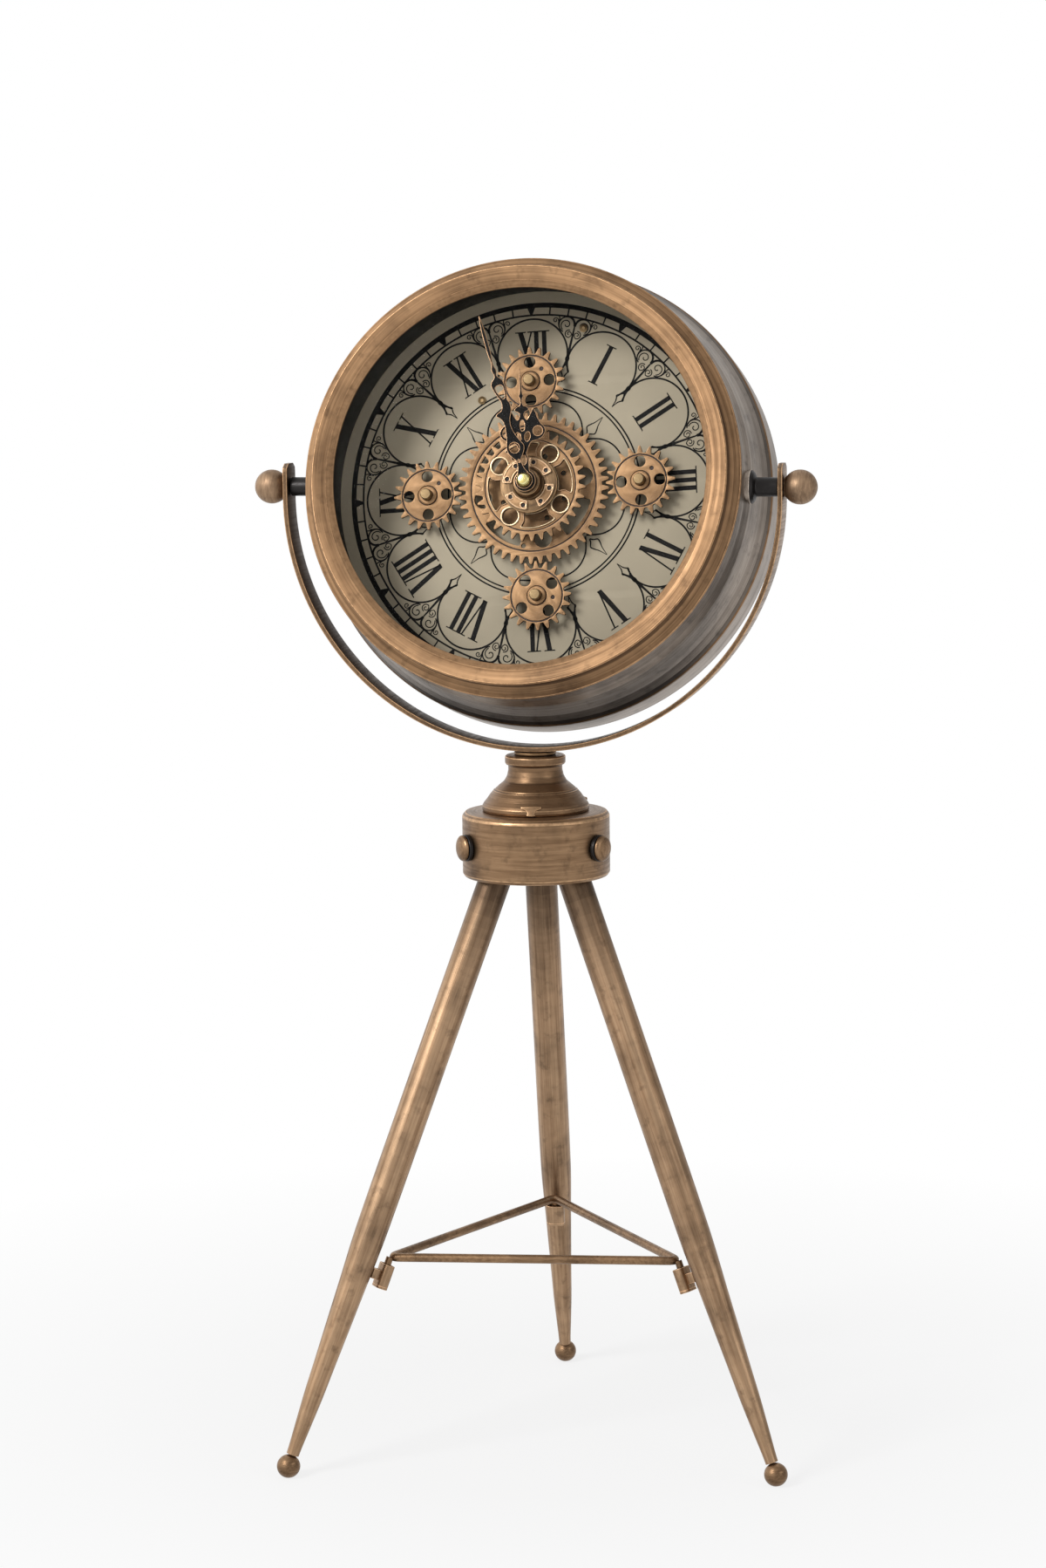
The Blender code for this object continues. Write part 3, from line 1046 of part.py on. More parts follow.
def make_case(head_axis):
    front = (CASE_FRONT_RADIUS, CASE_FRONT_DEPTH)
    edge = (CASE_FLARE_RADIUS, CASE_FLARE_DEPTH)
    ledge_front = DIAL_BACK_DEPTH - GAP
    ledge_back = ledge_front - CASE_DIAL_LEDGE_THICKNESS
    profile = [front] + between(front, edge, CASE_FLARE_SHARES)
    profile += [
        (CASE_BAND_RADIUS, CASE_BAND_DEPTH),
        (CASE_BAND_RADIUS, CASE_BACK_DEPTH + CASE_BACK_ROUND),
        (CASE_BAND_RADIUS - CASE_BACK_ROUND, CASE_BACK_DEPTH),
        (CASE_BACK_BORE_RADIUS, CASE_BACK_DEPTH),
        (CASE_BACK_BORE_RADIUS, CASE_COVER_SEAT_DEPTH),
        (CASE_COVER_LEDGE_RADIUS, CASE_COVER_SEAT_DEPTH),
        (CASE_COVER_LEDGE_RADIUS, CASE_COVER_LEDGE_DEPTH),
        (CASE_CHAMBER_RADIUS, CASE_CHAMBER_BACK_DEPTH),
        (CASE_CHAMBER_RADIUS, CASE_CHAMBER_FRONT_DEPTH),
        (CASE_DIAL_LEDGE_RADIUS, ledge_back - CASE_DIAL_LEDGE_SLOPE),
        (CASE_DIAL_LEDGE_RADIUS, ledge_front),
        (CASE_BORE_RADIUS, ledge_front),
        (CASE_BORE_RADIUS, CASE_SKIRT_SEAT_DEPTH),
        (CASE_SKIRT_BORE_RADIUS, CASE_SKIRT_SEAT_DEPTH),
        (CASE_SKIRT_BORE_RADIUS, CASE_FRONT_DEPTH),
    ]
    case = turned("case_shell", profile, head_axis, DARK_BRONZE, steps=LARGE_STEPS)
    for side in ("left", "right"):
        boss = (PIVOT_BOSS_ROOT, PIVOT_SEAT_DISTANCE)
        hole = (PIVOT_SEAT_DISTANCE - BUSHING_SPIGOT_LENGTH - GAP, PIVOT_SEAT_DISTANCE + CUT_MARGIN)
        face = (PIVOT_SEAT_DISTANCE, CASE_BAND_RADIUS + CUT_MARGIN)
        radius = PIVOT_BOSS_RADIUS
        turn = side_turn(side)
        join(case, rod("pivot_boss_" + side, radius, boss, head_axis, turn=turn, steps=ROUND_STEPS))
        cut(case, rod("pivot_face_" + side, radius, face, head_axis, turn=turn, steps=ROUND_STEPS))
        cut(case, rod("pivot_hole_" + side, BUSHING_SPIGOT_RADIUS + GAP, hole, head_axis, turn=turn))
    reach = (CASE_COVER_SEAT_DEPTH - CUT_MARGIN, COVER_SCREW_END_DEPTH + GAP)
    for number, angle in enumerate(COVER_SCREW_ANGLES):
        x, y = dial_place(COVER_SCREW_CIRCLE_RADIUS, angle)
        drill = rod(
            f"case_screw_hole_{number}",
            COVER_SCREW_RADIUS + GAP,
            reach,
            head_axis,
            location=(x, y, 0),
            steps=TINY_STEPS,
        )
        cut(case, drill)


def make_bezel(head_axis):
    bead_front = (BEZEL_BEAD_RADIUS - BEZEL_BEAD_HEIGHT / 2, BEZEL_BEAD_DEPTH + BEZEL_BEAD_HEIGHT / 2)
    cove_back = (BEZEL_COVE_RADIUS, BEZEL_COVE_BACK_DEPTH)
    profile = [
        (BEZEL_STEP_RADIUS, BEZEL_STEP_DEPTH),
        (BEZEL_RIM_RADIUS - BEZEL_RIM_ROUND, BEZEL_RIM_DEPTH),
        (BEZEL_RIM_RADIUS, BEZEL_RIM_DEPTH - BEZEL_RIM_ROUND),
        (BEZEL_COVE_RADIUS, BEZEL_COVE_FRONT_DEPTH),
        cove_back,
    ]
    profile += between(cove_back, bead_front, BEZEL_COVE_SHARES)
    profile += [
        bead_front,
        (BEZEL_BEAD_RADIUS, BEZEL_BEAD_DEPTH),
        (BEZEL_BEAD_RADIUS - BEZEL_BEAD_HEIGHT / 2, BEZEL_BACK_DEPTH),
        (BEZEL_SKIRT_RADIUS, BEZEL_BACK_DEPTH),
        (BEZEL_SKIRT_RADIUS, BEZEL_SKIRT_DEPTH),
        (BEZEL_SKIRT_RADIUS - BEZEL_SKIRT_WALL, BEZEL_SKIRT_DEPTH),
        (BEZEL_SKIRT_RADIUS - BEZEL_SKIRT_WALL, BEZEL_POCKET_BACK_DEPTH),
        (BEZEL_POCKET_RADIUS, BEZEL_POCKET_BACK_DEPTH),
        (BEZEL_POCKET_RADIUS, GLASS_FRONT_DEPTH + GAP),
        (BEZEL_LIP_RADIUS, GLASS_FRONT_DEPTH + GAP),
        (BEZEL_LIP_RADIUS, BEZEL_LIP_DEPTH),
    ]
    turned("bezel", profile, head_axis, COPPER, steps=LARGE_STEPS)


def make_glass(head_axis):
    depths = (GLASS_BACK_DEPTH, GLASS_FRONT_DEPTH)
    rod("glass", GLASS_RADIUS, depths, head_axis, CLEAR_GLASS, steps=LARGE_STEPS)


def make_inner_ring(head_axis):
    """The black wall between the glass and the dial; its front end holds the glass."""
    front = GLASS_BACK_DEPTH - GAP
    back = DIAL_FACE_DEPTH + GAP
    neck = GLASS_RADIUS
    profile = [
        (neck, front),
        (neck, INNER_RING_SHOULDER_DEPTH),
        (INNER_RING_RADIUS, INNER_RING_SHOULDER_DEPTH),
        (INNER_RING_RADIUS, back),
        (INNER_RING_RADIUS - INNER_RING_WALL, back),
        (INNER_RING_RADIUS - INNER_RING_WALL, INNER_RING_SHOULDER_DEPTH - INNER_RING_WALL),
        (neck - INNER_RING_WALL, INNER_RING_SHOULDER_DEPTH - INNER_RING_WALL),
        (neck - INNER_RING_WALL, front),
    ]
    turned("inner_ring", profile, head_axis, BLACK_PAINT, steps=LARGE_STEPS)


def make_dial(dial_axis):
    outlines = [circle(DIAL_RADIUS, LARGE_STEPS, start=-DIAL_TURN), circle(BUSH_RADIUS + GAP, SMALL_STEPS)]
    for name, angle in SATELLITE_ANGLES.items():
        radius = PIN_RADIUS if name == DRIVEN_GEAR else POST_SPIGOT_RADIUS
        centre = dial_place(SATELLITE_DISTANCE, angle)
        outlines.append(circle(radius + GAP, TINY_STEPS, centre))
    for centre in DIAL_SCREW_CENTRES.values():
        outlines.append(circle(DIAL_SCREW_RADIUS + GAP, TINY_STEPS, centre))
    plate("dial", outlines, (DIAL_BACK_DEPTH, DIAL_FACE_DEPTH), dial_axis, DIAL_PAINT)


def make_dial_screw(side, dial_axis):
    x, y = DIAL_SCREW_CENTRES[side]
    seat = DIAL_FACE_DEPTH + GAP
    end = DIAL_BACK_DEPTH - DIAL_SCREW_REACH
    profile = [
        (0, seat + DIAL_SCREW_HEAD_HEIGHT),
        (DIAL_SCREW_HEAD_RADIUS / 2, seat + DIAL_SCREW_HEAD_HEIGHT),
        (DIAL_SCREW_HEAD_RADIUS, seat + DIAL_SCREW_HEAD_HEIGHT / 2),
        (DIAL_SCREW_HEAD_RADIUS, seat),
        (DIAL_SCREW_RADIUS, seat),
        (DIAL_SCREW_RADIUS, end),
        (0, end),
    ]
    turned("dial_screw_" + side, profile, dial_axis, BRASS, location=(x, y, 0), steps=TINY_STEPS)


def pin_profile(end_height):
    """The brass pin of a small gear, from its rounded tip down to this height."""
    return [
        (0, PIN_TOP_HEIGHT),
        (PIN_RADIUS - PIN_ROUND, PIN_TOP_HEIGHT),
        (PIN_RADIUS, PIN_TOP_HEIGHT - PIN_ROUND),
        (PIN_RADIUS, end_height),
    ]


def make_satellite(name, dial_axis):
    """A small gear with bosses on both faces, on a fixed post or on the motor's shaft."""
    angle = SATELLITE_ANGLES[name]
    x, y = dial_place(SATELLITE_DISTANCE, angle)
    at_gear = empty("gear_axis_" + name, dial_axis, (x, y, DIAL_FACE_DEPTH))
    post_top = GAP + POST_FLANGE_THICKNESS
    facing = angle + HALF_TURN
    outlines = [gear_outline(SATELLITE_TEETH, SATELLITE_TIP_RADIUS, SATELLITE_ROOT_RADIUS, facing)]
    for number in range(SATELLITE_HOLES):
        turned_teeth = SATELLITE_TEETH_TURNED[name]
        place_angle = angle + FULL_TURN * (number / SATELLITE_HOLES + turned_teeth / SATELLITE_TEETH)
        centre = dial_place(SATELLITE_HOLE_CIRCLE_RADIUS, place_angle)
        outlines.append(circle(SATELLITE_HOLE_RADIUS, TINY_STEPS, centre))
    heights = (GEAR_PLANE_HEIGHT - GEAR_THICKNESS, GEAR_PLANE_HEIGHT)
    gear = plate("gear_" + name, outlines, heights, at_gear, GEAR_PAINT)
    boss = (post_top + GAP, GEAR_PLANE_HEIGHT + SATELLITE_BOSS_RISE)
    join(gear, rod("gear_boss_" + name, SATELLITE_BOSS_RADIUS, boss, at_gear))
    cut(gear, rod("gear_bore_" + name, PIN_RADIUS + GAP, (0, PIN_TOP_HEIGHT), at_gear))
    if name == DRIVEN_GEAR:
        end = -DIAL_THICKNESS - GAP - MOTOR_SHAFT_DEPTH
        profile = pin_profile(end) + [(0, end)]
        turned("motor_shaft", profile, at_gear, BRASS, steps=SMALL_STEPS)
        return
    spigot_end = -DIAL_THICKNESS
    profile = pin_profile(post_top) + [
        (POST_FLANGE_RADIUS, post_top),
        (POST_FLANGE_RADIUS, GAP),
        (POST_SPIGOT_RADIUS, GAP),
        (POST_SPIGOT_RADIUS, spigot_end),
        (0, spigot_end),
    ]
    turned("gear_post_" + name, profile, at_gear, BRASS, steps=SMALL_STEPS)


def sleeve_outer_radius():
    return BUSH_RADIUS + GAP + SLEEVE_WALL


def make_main_gear(centre_axis):
    outlines = [gear_outline(MAIN_TEETH, MAIN_TIP_RADIUS, MAIN_ROOT_RADIUS, HALF_TURN / MAIN_TEETH)]
    outlines.append(circle(sleeve_outer_radius() + GAP, SMALL_STEPS))
    for number in range(WINDOW_REPEATS):
        step = FULL_TURN * number / WINDOW_REPEATS
        outlines.append(
            window(
                MAIN_WINDOW_INNER_RADIUS,
                MAIN_WINDOW_OUTER_RADIUS,
                MAIN_WINDOW_CENTRE + step,
                MAIN_WINDOW_HALF_ANGLE,
                WINDOW_CORNER,
            )
        )
        centre = dial_place(MAIN_HOLE_CIRCLE_RADIUS, MAIN_HOLE_CENTRE + step)
        outlines.append(circle(MAIN_HOLE_RADIUS, TINY_STEPS, centre))
    heights = (GEAR_PLANE_HEIGHT - GEAR_THICKNESS, GEAR_PLANE_HEIGHT)
    plate("main_gear", outlines, heights, centre_axis, GEAR_PAINT)


def make_upper_gear(centre_axis):
    outlines = [gear_outline(UPPER_TEETH, UPPER_TIP_RADIUS, UPPER_ROOT_RADIUS, 0)]
    for number in range(WINDOW_REPEATS):
        step = FULL_TURN * number / WINDOW_REPEATS
        outlines.append(
            window(
                UPPER_WINDOW_INNER_RADIUS,
                UPPER_WINDOW_OUTER_RADIUS,
                UPPER_WINDOW_CENTRE + step,
                UPPER_WINDOW_HALF_ANGLE,
                WINDOW_CORNER,
            )
        )
        centre = dial_place(UPPER_HOLE_CIRCLE_RADIUS, UPPER_HOLE_CENTRE + step)
        outlines.append(circle(UPPER_HOLE_RADIUS, TINY_STEPS, centre))
    heights = (UPPER_GEAR_HEIGHT - GEAR_THICKNESS, UPPER_GEAR_HEIGHT)
    gear = plate("upper_gear", outlines, heights, centre_axis, GEAR_PAINT)
    boss = (GEAR_PLANE_HEIGHT + GAP, UPPER_GEAR_HEIGHT - GEAR_THICKNESS / 2)
    join(gear, rod("upper_gear_boss", UPPER_BOSS_RADIUS, boss, centre_axis))
    cut(gear, rod("upper_gear_bore", sleeve_outer_radius() + GAP, (0, HUB_PLATE_TOP_HEIGHT), centre_axis))


def make_hub_plate(centre_axis):
    """The plate over the upper wheel, with four raised pads."""
    bore = sleeve_outer_radius() + GAP
    low = HUB_PLATE_TOP_HEIGHT - HUB_PLATE_THICKNESS
    seat = UPPER_GEAR_HEIGHT + GAP
    profile = [
        (bore, HUB_PLATE_TOP_HEIGHT),
        (HUB_PLATE_RADIUS, HUB_PLATE_TOP_HEIGHT),
        (HUB_PLATE_RADIUS, low),
        (HUB_PLATE_BOSS_RADIUS, low),
        (HUB_PLATE_BOSS_RADIUS, seat),
        (bore, seat),
    ]
    hub_plate = turned("hub_plate", profile, centre_axis, GEAR_PAINT)
    heights = (HUB_PLATE_TOP_HEIGHT - HUB_PAD_SINK, HUB_PLATE_TOP_HEIGHT + HUB_PAD_HEIGHT)
    for number in range(WINDOW_REPEATS):
        middle = MAIN_WINDOW_CENTRE + FULL_TURN * number / WINDOW_REPEATS
        outline = window(
            HUB_PAD_INNER_RADIUS, HUB_PAD_OUTER_RADIUS, middle, HUB_PAD_HALF_ANGLE, HUB_PAD_CORNER
        )
        join(hub_plate, plate(f"hub_pad_{number}", [outline], heights, centre_axis, None))


def make_gear_sleeve(centre_axis):
    """The tube that carries both centre gears; it turns on the movement's bushing."""
    bore = BUSH_RADIUS + GAP
    outer = sleeve_outer_radius()
    boss_low = GAP + BUSH_FLANGE_THICKNESS + GAP
    boss_high = GEAR_PLANE_HEIGHT - GEAR_THICKNESS - GAP
    profile = [
        (outer, SLEEVE_TOP_HEIGHT),
        (outer, boss_high),
        (SLEEVE_BOSS_RADIUS, boss_high),
        (SLEEVE_BOSS_RADIUS, boss_low),
        (bore, boss_low),
        (bore, SLEEVE_TOP_HEIGHT),
    ]
    turned("gear_sleeve", profile, centre_axis, BRASS, steps=SMALL_STEPS)


def make_hub_cone(centre_axis):
    bore = HOUR_ARBOR_RADIUS + GAP
    base = HUB_PLATE_TOP_HEIGHT + GAP
    profile = [
        (bore, CONE_TOP_HEIGHT),
        (CONE_TOP_RADIUS, CONE_TOP_HEIGHT),
        (CONE_BASE_RADIUS - CONE_BASE_LIP, base + CONE_BASE_LIP),
        (CONE_BASE_RADIUS, base + CONE_BASE_LIP),
        (CONE_BASE_RADIUS, base),
        (bore, base),
    ]
    turned("hub_cone", profile, centre_axis, GEAR_PAINT)


def make_movement_bushing(centre_axis):
    """The threaded tube that clamps the dial to the movement."""
    bore = HOUR_ARBOR_RADIUS + GAP
    flange_top = GAP + BUSH_FLANGE_THICKNESS
    end = -DIAL_THICKNESS - GAP - BUSH_SPIGOT_LENGTH
    profile = [
        (BUSH_RADIUS, BUSH_TOP_HEIGHT),
        (BUSH_RADIUS, flange_top),
        (BUSH_FLANGE_RADIUS, flange_top),
        (BUSH_FLANGE_RADIUS, GAP),
        (BUSH_RADIUS, GAP),
        (BUSH_RADIUS, end),
        (bore, end),
        (bore, BUSH_TOP_HEIGHT),
    ]
    turned("movement_bushing", profile, centre_axis, BRASS, steps=SMALL_STEPS)


def make_arbors(centre_axis):
    end = -DIAL_THICKNESS - GAP - BUSH_SPIGOT_LENGTH + ARBOR_END_CLEARANCE
    bore = HOUR_ARBOR_RADIUS - HOUR_ARBOR_WALL
    tube = [
        (HOUR_ARBOR_RADIUS, HOUR_ARBOR_TOP_HEIGHT),
        (HOUR_ARBOR_RADIUS, end),
        (bore, end),
        (bore, HOUR_ARBOR_TOP_HEIGHT),
    ]
    turned("hour_arbor", tube, centre_axis, BLACK_STEEL, steps=SMALL_STEPS)
    heights = (end, MINUTE_ARBOR_TOP_HEIGHT)
    rod("minute_arbor", MINUTE_ARBOR_RADIUS, heights, centre_axis, BRASS, steps=TINY_STEPS)
    crown = CAP_BOTTOM_HEIGHT + CAP_HEIGHT
    skirt = CAP_BOTTOM_HEIGHT + CAP_HEIGHT * CAP_SKIRT_SHARE
    dome = [
        (CAP_RADIUS * math.sin(angle), skirt + (crown - skirt) * math.cos(angle))
        for angle in (QUARTER_TURN * at / CAP_ARCS for at in range(CAP_ARCS + 1))
    ]
    bore = MINUTE_ARBOR_RADIUS + GAP
    blind = MINUTE_ARBOR_TOP_HEIGHT + GAP
    rest = [(CAP_RADIUS, CAP_BOTTOM_HEIGHT), (bore, CAP_BOTTOM_HEIGHT), (bore, blind), (0, blind)]
    turned("cap_nut", dome + rest, centre_axis, BRASS, steps=SMALL_STEPS)


def hand_outline(length, shares, bore):
    """Both sides of a hand that points at twelve, with a round eye about the centre."""
    eye = bore + HAND_EYE_WIDTH
    right = [(length * across, length * along) for along, across in shares]
    left = [(-x, y) for x, y in reversed(right)]
    neck_x, neck_y = right[0]
    start = math.atan2(neck_y, neck_x)
    eye_angle = math.acos(neck_x / eye) if neck_x < eye else start
    round_eye = arc((0, 0), eye, HALF_TURN - eye_angle, FULL_TURN + eye_angle, HAND_EYE_ARCS)
    return round_eye + right + left


def make_hand(name, length, shares, holes, bore, low, time, centre_axis):
    outlines = [hand_outline(length, shares, bore), circle(bore, SMALL_STEPS)]
    for along, across, half_length, half_width in holes:
        outlines.append(
            [
                (length * (across + half_width * math.sin(a)), length * (along + half_length * math.cos(a)))
                for a in (FULL_TURN * at / HAND_HOLE_ARCS for at in range(HAND_HOLE_ARCS))
            ]
        )
    plate(name, outlines, (low, low + HAND_THICKNESS), centre_axis, BLACK_PAINT, turn=(0, 0, -time))


def make_battery(name, bay_centre, floor_depth, dial_axis):
    """One AA cell lying along X in a bay that is open at the back."""
    x, y = bay_centre
    half = BATTERY_LENGTH / 2
    cell = BATTERY_RADIUS
    profile = [
        (0, half + BATTERY_NUB_LENGTH),
        (BATTERY_NUB_RADIUS, half + BATTERY_NUB_LENGTH),
        (BATTERY_NUB_RADIUS, half),
        (cell - BATTERY_ROUND, half),
        (cell, half - BATTERY_ROUND),
        (cell, BATTERY_ROUND - half),
        (cell - BATTERY_ROUND, -half),
        (0, -half),
    ]
    spot = (x, y, floor_depth - BATTERY_CLEARANCE - cell)
    along_x = (0, QUARTER_TURN, 0)
    turned(name, profile, dial_axis, BATTERY_WRAP, location=spot, turn=along_x, steps=SMALL_STEPS)


def battery_bay(name, bay_centre, floor_depth, back_depth, dial_axis):
    outline = rounded_box(BAY_WIDTH, BAY_HEIGHT, BATTERY_ROUND, 1, bay_centre)
    return plate(name, [outline], (back_depth - CUT_MARGIN, floor_depth), dial_axis, None)


def make_movement(dial_axis):
    front = DIAL_BACK_DEPTH - GAP
    back = front - MOVEMENT_THICKNESS
    floor = front - MOVEMENT_BAY_FLOOR
    outline = rounded_box(MOVEMENT_WIDTH, MOVEMENT_HEIGHT, BOX_CORNER, BOX_ARCS)
    box = plate("movement_case", [outline], (back, front), dial_axis, BLACK_PLASTIC)
    cut(box, battery_bay("movement_bay", MOVEMENT_BAY_CENTRE, floor, back, dial_axis))
    socket = (front - BUSH_SOCKET_DEPTH, front + CUT_MARGIN)
    cut(box, rod("bushing_socket", BUSH_RADIUS + GAP, socket, dial_axis))
    x, y = SET_KNOB_CENTRE
    stem = (back - CUT_MARGIN, back + SET_KNOB_STEM_LENGTH + GAP)
    stem_radius = SET_KNOB_STEM_RADIUS
    cut(box, rod("stem_hole", stem_radius + GAP, stem, dial_axis, location=(x, y, 0), steps=TINY_STEPS))
    make_battery("movement_battery", MOVEMENT_BAY_CENTRE, floor, dial_axis)
    knob_front = back - GAP
    knob_back = knob_front - SET_KNOB_HEIGHT
    profile = [
        (0, back + SET_KNOB_STEM_LENGTH),
        (stem_radius, back + SET_KNOB_STEM_LENGTH),
        (stem_radius, knob_front),
        (SET_KNOB_RADIUS, knob_front),
        (SET_KNOB_RADIUS, knob_back),
        (0, knob_back),
    ]
    turned("set_knob", profile, dial_axis, BLACK_PLASTIC, location=(x, y, 0), steps=SMALL_STEPS)


def make_gear_motor(dial_axis):
    front = DIAL_BACK_DEPTH - GAP
    back = front - MOTOR_THICKNESS
    floor = front - MOTOR_BAY_FLOOR
    outline = rounded_box(MOTOR_WIDTH, MOTOR_HEIGHT, BOX_CORNER, BOX_ARCS, MOTOR_CENTRE)
    box = plate("gear_motor_case", [outline], (back, front), dial_axis, BLACK_PLASTIC)
    cut(box, battery_bay("motor_bay", MOTOR_BAY_CENTRE, floor, back, dial_axis))
    x, y = dial_place(SATELLITE_DISTANCE, SATELLITE_ANGLES[DRIVEN_GEAR])
    shaft = (front - MOTOR_SHAFT_DEPTH - GAP, front + CUT_MARGIN)
    cut(box, rod("shaft_hole", PIN_RADIUS + GAP, shaft, dial_axis, location=(x, y, 0)))
    for side, (screw_x, screw_y) in DIAL_SCREW_CENTRES.items():
        reach = (front - DIAL_SCREW_REACH, front + CUT_MARGIN)
        spot = (screw_x, screw_y, 0)
        radius = DIAL_SCREW_RADIUS + GAP
        cut(box, rod("motor_screw_hole_" + side, radius, reach, dial_axis, location=spot, steps=TINY_STEPS))
    make_battery("gear_motor_battery", MOTOR_BAY_CENTRE, floor, dial_axis)


def make_back_cover(head_axis):
    outlines = [circle(COVER_RADIUS, LARGE_STEPS)]
    outlines.append(
        rounded_box(
            COVER_OPENING_WIDTH,
            COVER_OPENING_HEIGHT,
            COVER_OPENING_CORNER,
            COVER_CORNER_ARCS,
            COVER_OPENING_CENTRE,
        )
    )
    for number, angle in enumerate(COVER_SCREW_ANGLES, start=1):
        x, y = dial_place(COVER_SCREW_CIRCLE_RADIUS, angle)
        outlines.append(circle(COVER_SCREW_RADIUS + GAP, TINY_STEPS, (x, y)))
        seat = COVER_SCREW_SEAT_DEPTH
        profile = [
            (0, COVER_SCREW_END_DEPTH),
            (COVER_SCREW_RADIUS, COVER_SCREW_END_DEPTH),
            (COVER_SCREW_RADIUS, seat),
            (COVER_SCREW_HEAD_RADIUS, seat),
            (COVER_SCREW_HEAD_RADIUS, seat - COVER_SCREW_HEAD_HEIGHT / 2),
            (COVER_SCREW_HEAD_RADIUS / 2, seat - COVER_SCREW_HEAD_HEIGHT),
            (0, seat - COVER_SCREW_HEAD_HEIGHT),
        ]
        name = f"back_cover_screw_{number}"
        turned(name, profile, head_axis, BLACK_STEEL, location=(x, y, 0), steps=TINY_STEPS)
    plate("back_cover", outlines, (COVER_BACK_DEPTH, COVER_FRONT_DEPTH), head_axis, BLACK_PAINT)


def make_stand():
    axes = {side: leg_frame(side) for side in LEG_AZIMUTHS}
    make_hub(axes)
    for side, axis in axes.items():
        make_foot(side, axis)
        make_leg(side, axis)
        make_leg_bolt(side)
        make_cup(side, axis)
    make_brace(axes)
    make_pedestal()


def make_head(yoke_axis):
    head_turn = (QUARTER_TURN - HEAD_TILT, 0, 0)
    head_axis = empty("head_axis", yoke_axis, (0, 0, PIVOT_HEIGHT), head_turn)
    for side in ("left", "right"):
        make_bushing(side, head_axis)
        make_knob(side, head_axis)
    make_case(head_axis)
    make_bezel(head_axis)
    make_glass(head_axis)
    make_inner_ring(head_axis)
    make_back_cover(head_axis)
    dial_axis = empty("dial_axis", head_axis, turn=(0, 0, DIAL_TURN))
    make_dial(dial_axis)
    for side in DIAL_SCREW_CENTRES:
        make_dial_screw(side, dial_axis)
    make_movement(dial_axis)
    make_gear_motor(dial_axis)
    for name in SATELLITE_ANGLES:
        make_satellite(name, dial_axis)
    make_centre_stack(empty("centre_axis", dial_axis, (0, 0, DIAL_FACE_DEPTH)))


def make_centre_stack(centre_axis):
    make_movement_bushing(centre_axis)
    make_gear_sleeve(centre_axis)
    make_main_gear(centre_axis)
    make_upper_gear(centre_axis)
    make_hub_plate(centre_axis)
    make_hub_cone(centre_axis)
    make_arbors(centre_axis)
    make_hand(
        "hour_hand",
        HOUR_HAND_LENGTH,
        HOUR_HAND_SHARES,
        HOUR_HAND_HOLE_SHARES,
        HOUR_ARBOR_RADIUS + GAP,
        HOUR_HAND_HEIGHT,
        HOUR_HAND_TIME,
        centre_axis,
    )
    make_hand(
        "minute_hand",
        MINUTE_HAND_LENGTH,
        MINUTE_HAND_SHARES,
        MINUTE_HAND_HOLE_SHARES,
        MINUTE_ARBOR_RADIUS + GAP,
        MINUTE_HAND_HEIGHT,
        MINUTE_HAND_TIME,
        centre_axis,
    )


def settle_meshes():
    """Turns each piece's construction into its final mesh, shaded smooth except at sharp edges."""
    bpy.context.view_layer.update()
    graph = bpy.context.evaluated_depsgraph_get()
    pieces = [item for item in PARTS.objects if item.type == "MESH"]
    final = {item: bpy.data.meshes.new_from_object(item.evaluated_get(graph)) for item in pieces}
    for item, mesh in final.items():
        item.modifiers.clear()
        item.data = mesh
        mesh.name = item.name
        mesh.shade_smooth()
        mesh.set_sharp_from_angle(angle=SHARP_ANGLE)
    for item in list(TOOLS.objects):
        bpy.data.objects.remove(item)


def centre_over_origin():
    """Moves the root so that the middle of the bounding box stands over the world origin."""
    pieces = [item for item in PARTS.objects if item.type == "MESH"]
    corners = [item.matrix_world @ vertex.co for item in pieces for vertex in item.data.vertices]
    for axis in (0, 1):
        values = [corner[axis] for corner in corners]
        ROOT.location[axis] = -(min(values) + max(values)) / 2
    bpy.context.view_layer.update()


clear_scene()
PARTS = make_collection("tripod_table_clock")
TOOLS = make_collection("construction", hidden=True)
ROOT = empty("tripod_table_clock", None)
make_stand()
YOKE_AXIS = empty("yoke_axis", ROOT, turn=(0, 0, YOKE_TURN))
make_swivel(YOKE_AXIS)
make_yoke(YOKE_AXIS)
make_head(YOKE_AXIS)
settle_meshes()
centre_over_origin()
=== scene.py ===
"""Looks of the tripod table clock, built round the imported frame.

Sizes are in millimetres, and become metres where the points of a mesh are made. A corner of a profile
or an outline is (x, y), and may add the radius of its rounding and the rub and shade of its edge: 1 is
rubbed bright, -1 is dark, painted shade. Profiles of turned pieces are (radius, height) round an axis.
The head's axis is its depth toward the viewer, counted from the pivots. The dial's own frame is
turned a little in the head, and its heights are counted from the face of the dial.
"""

import json
import math

import bmesh
import bpy
from mathutils import Matrix, Vector


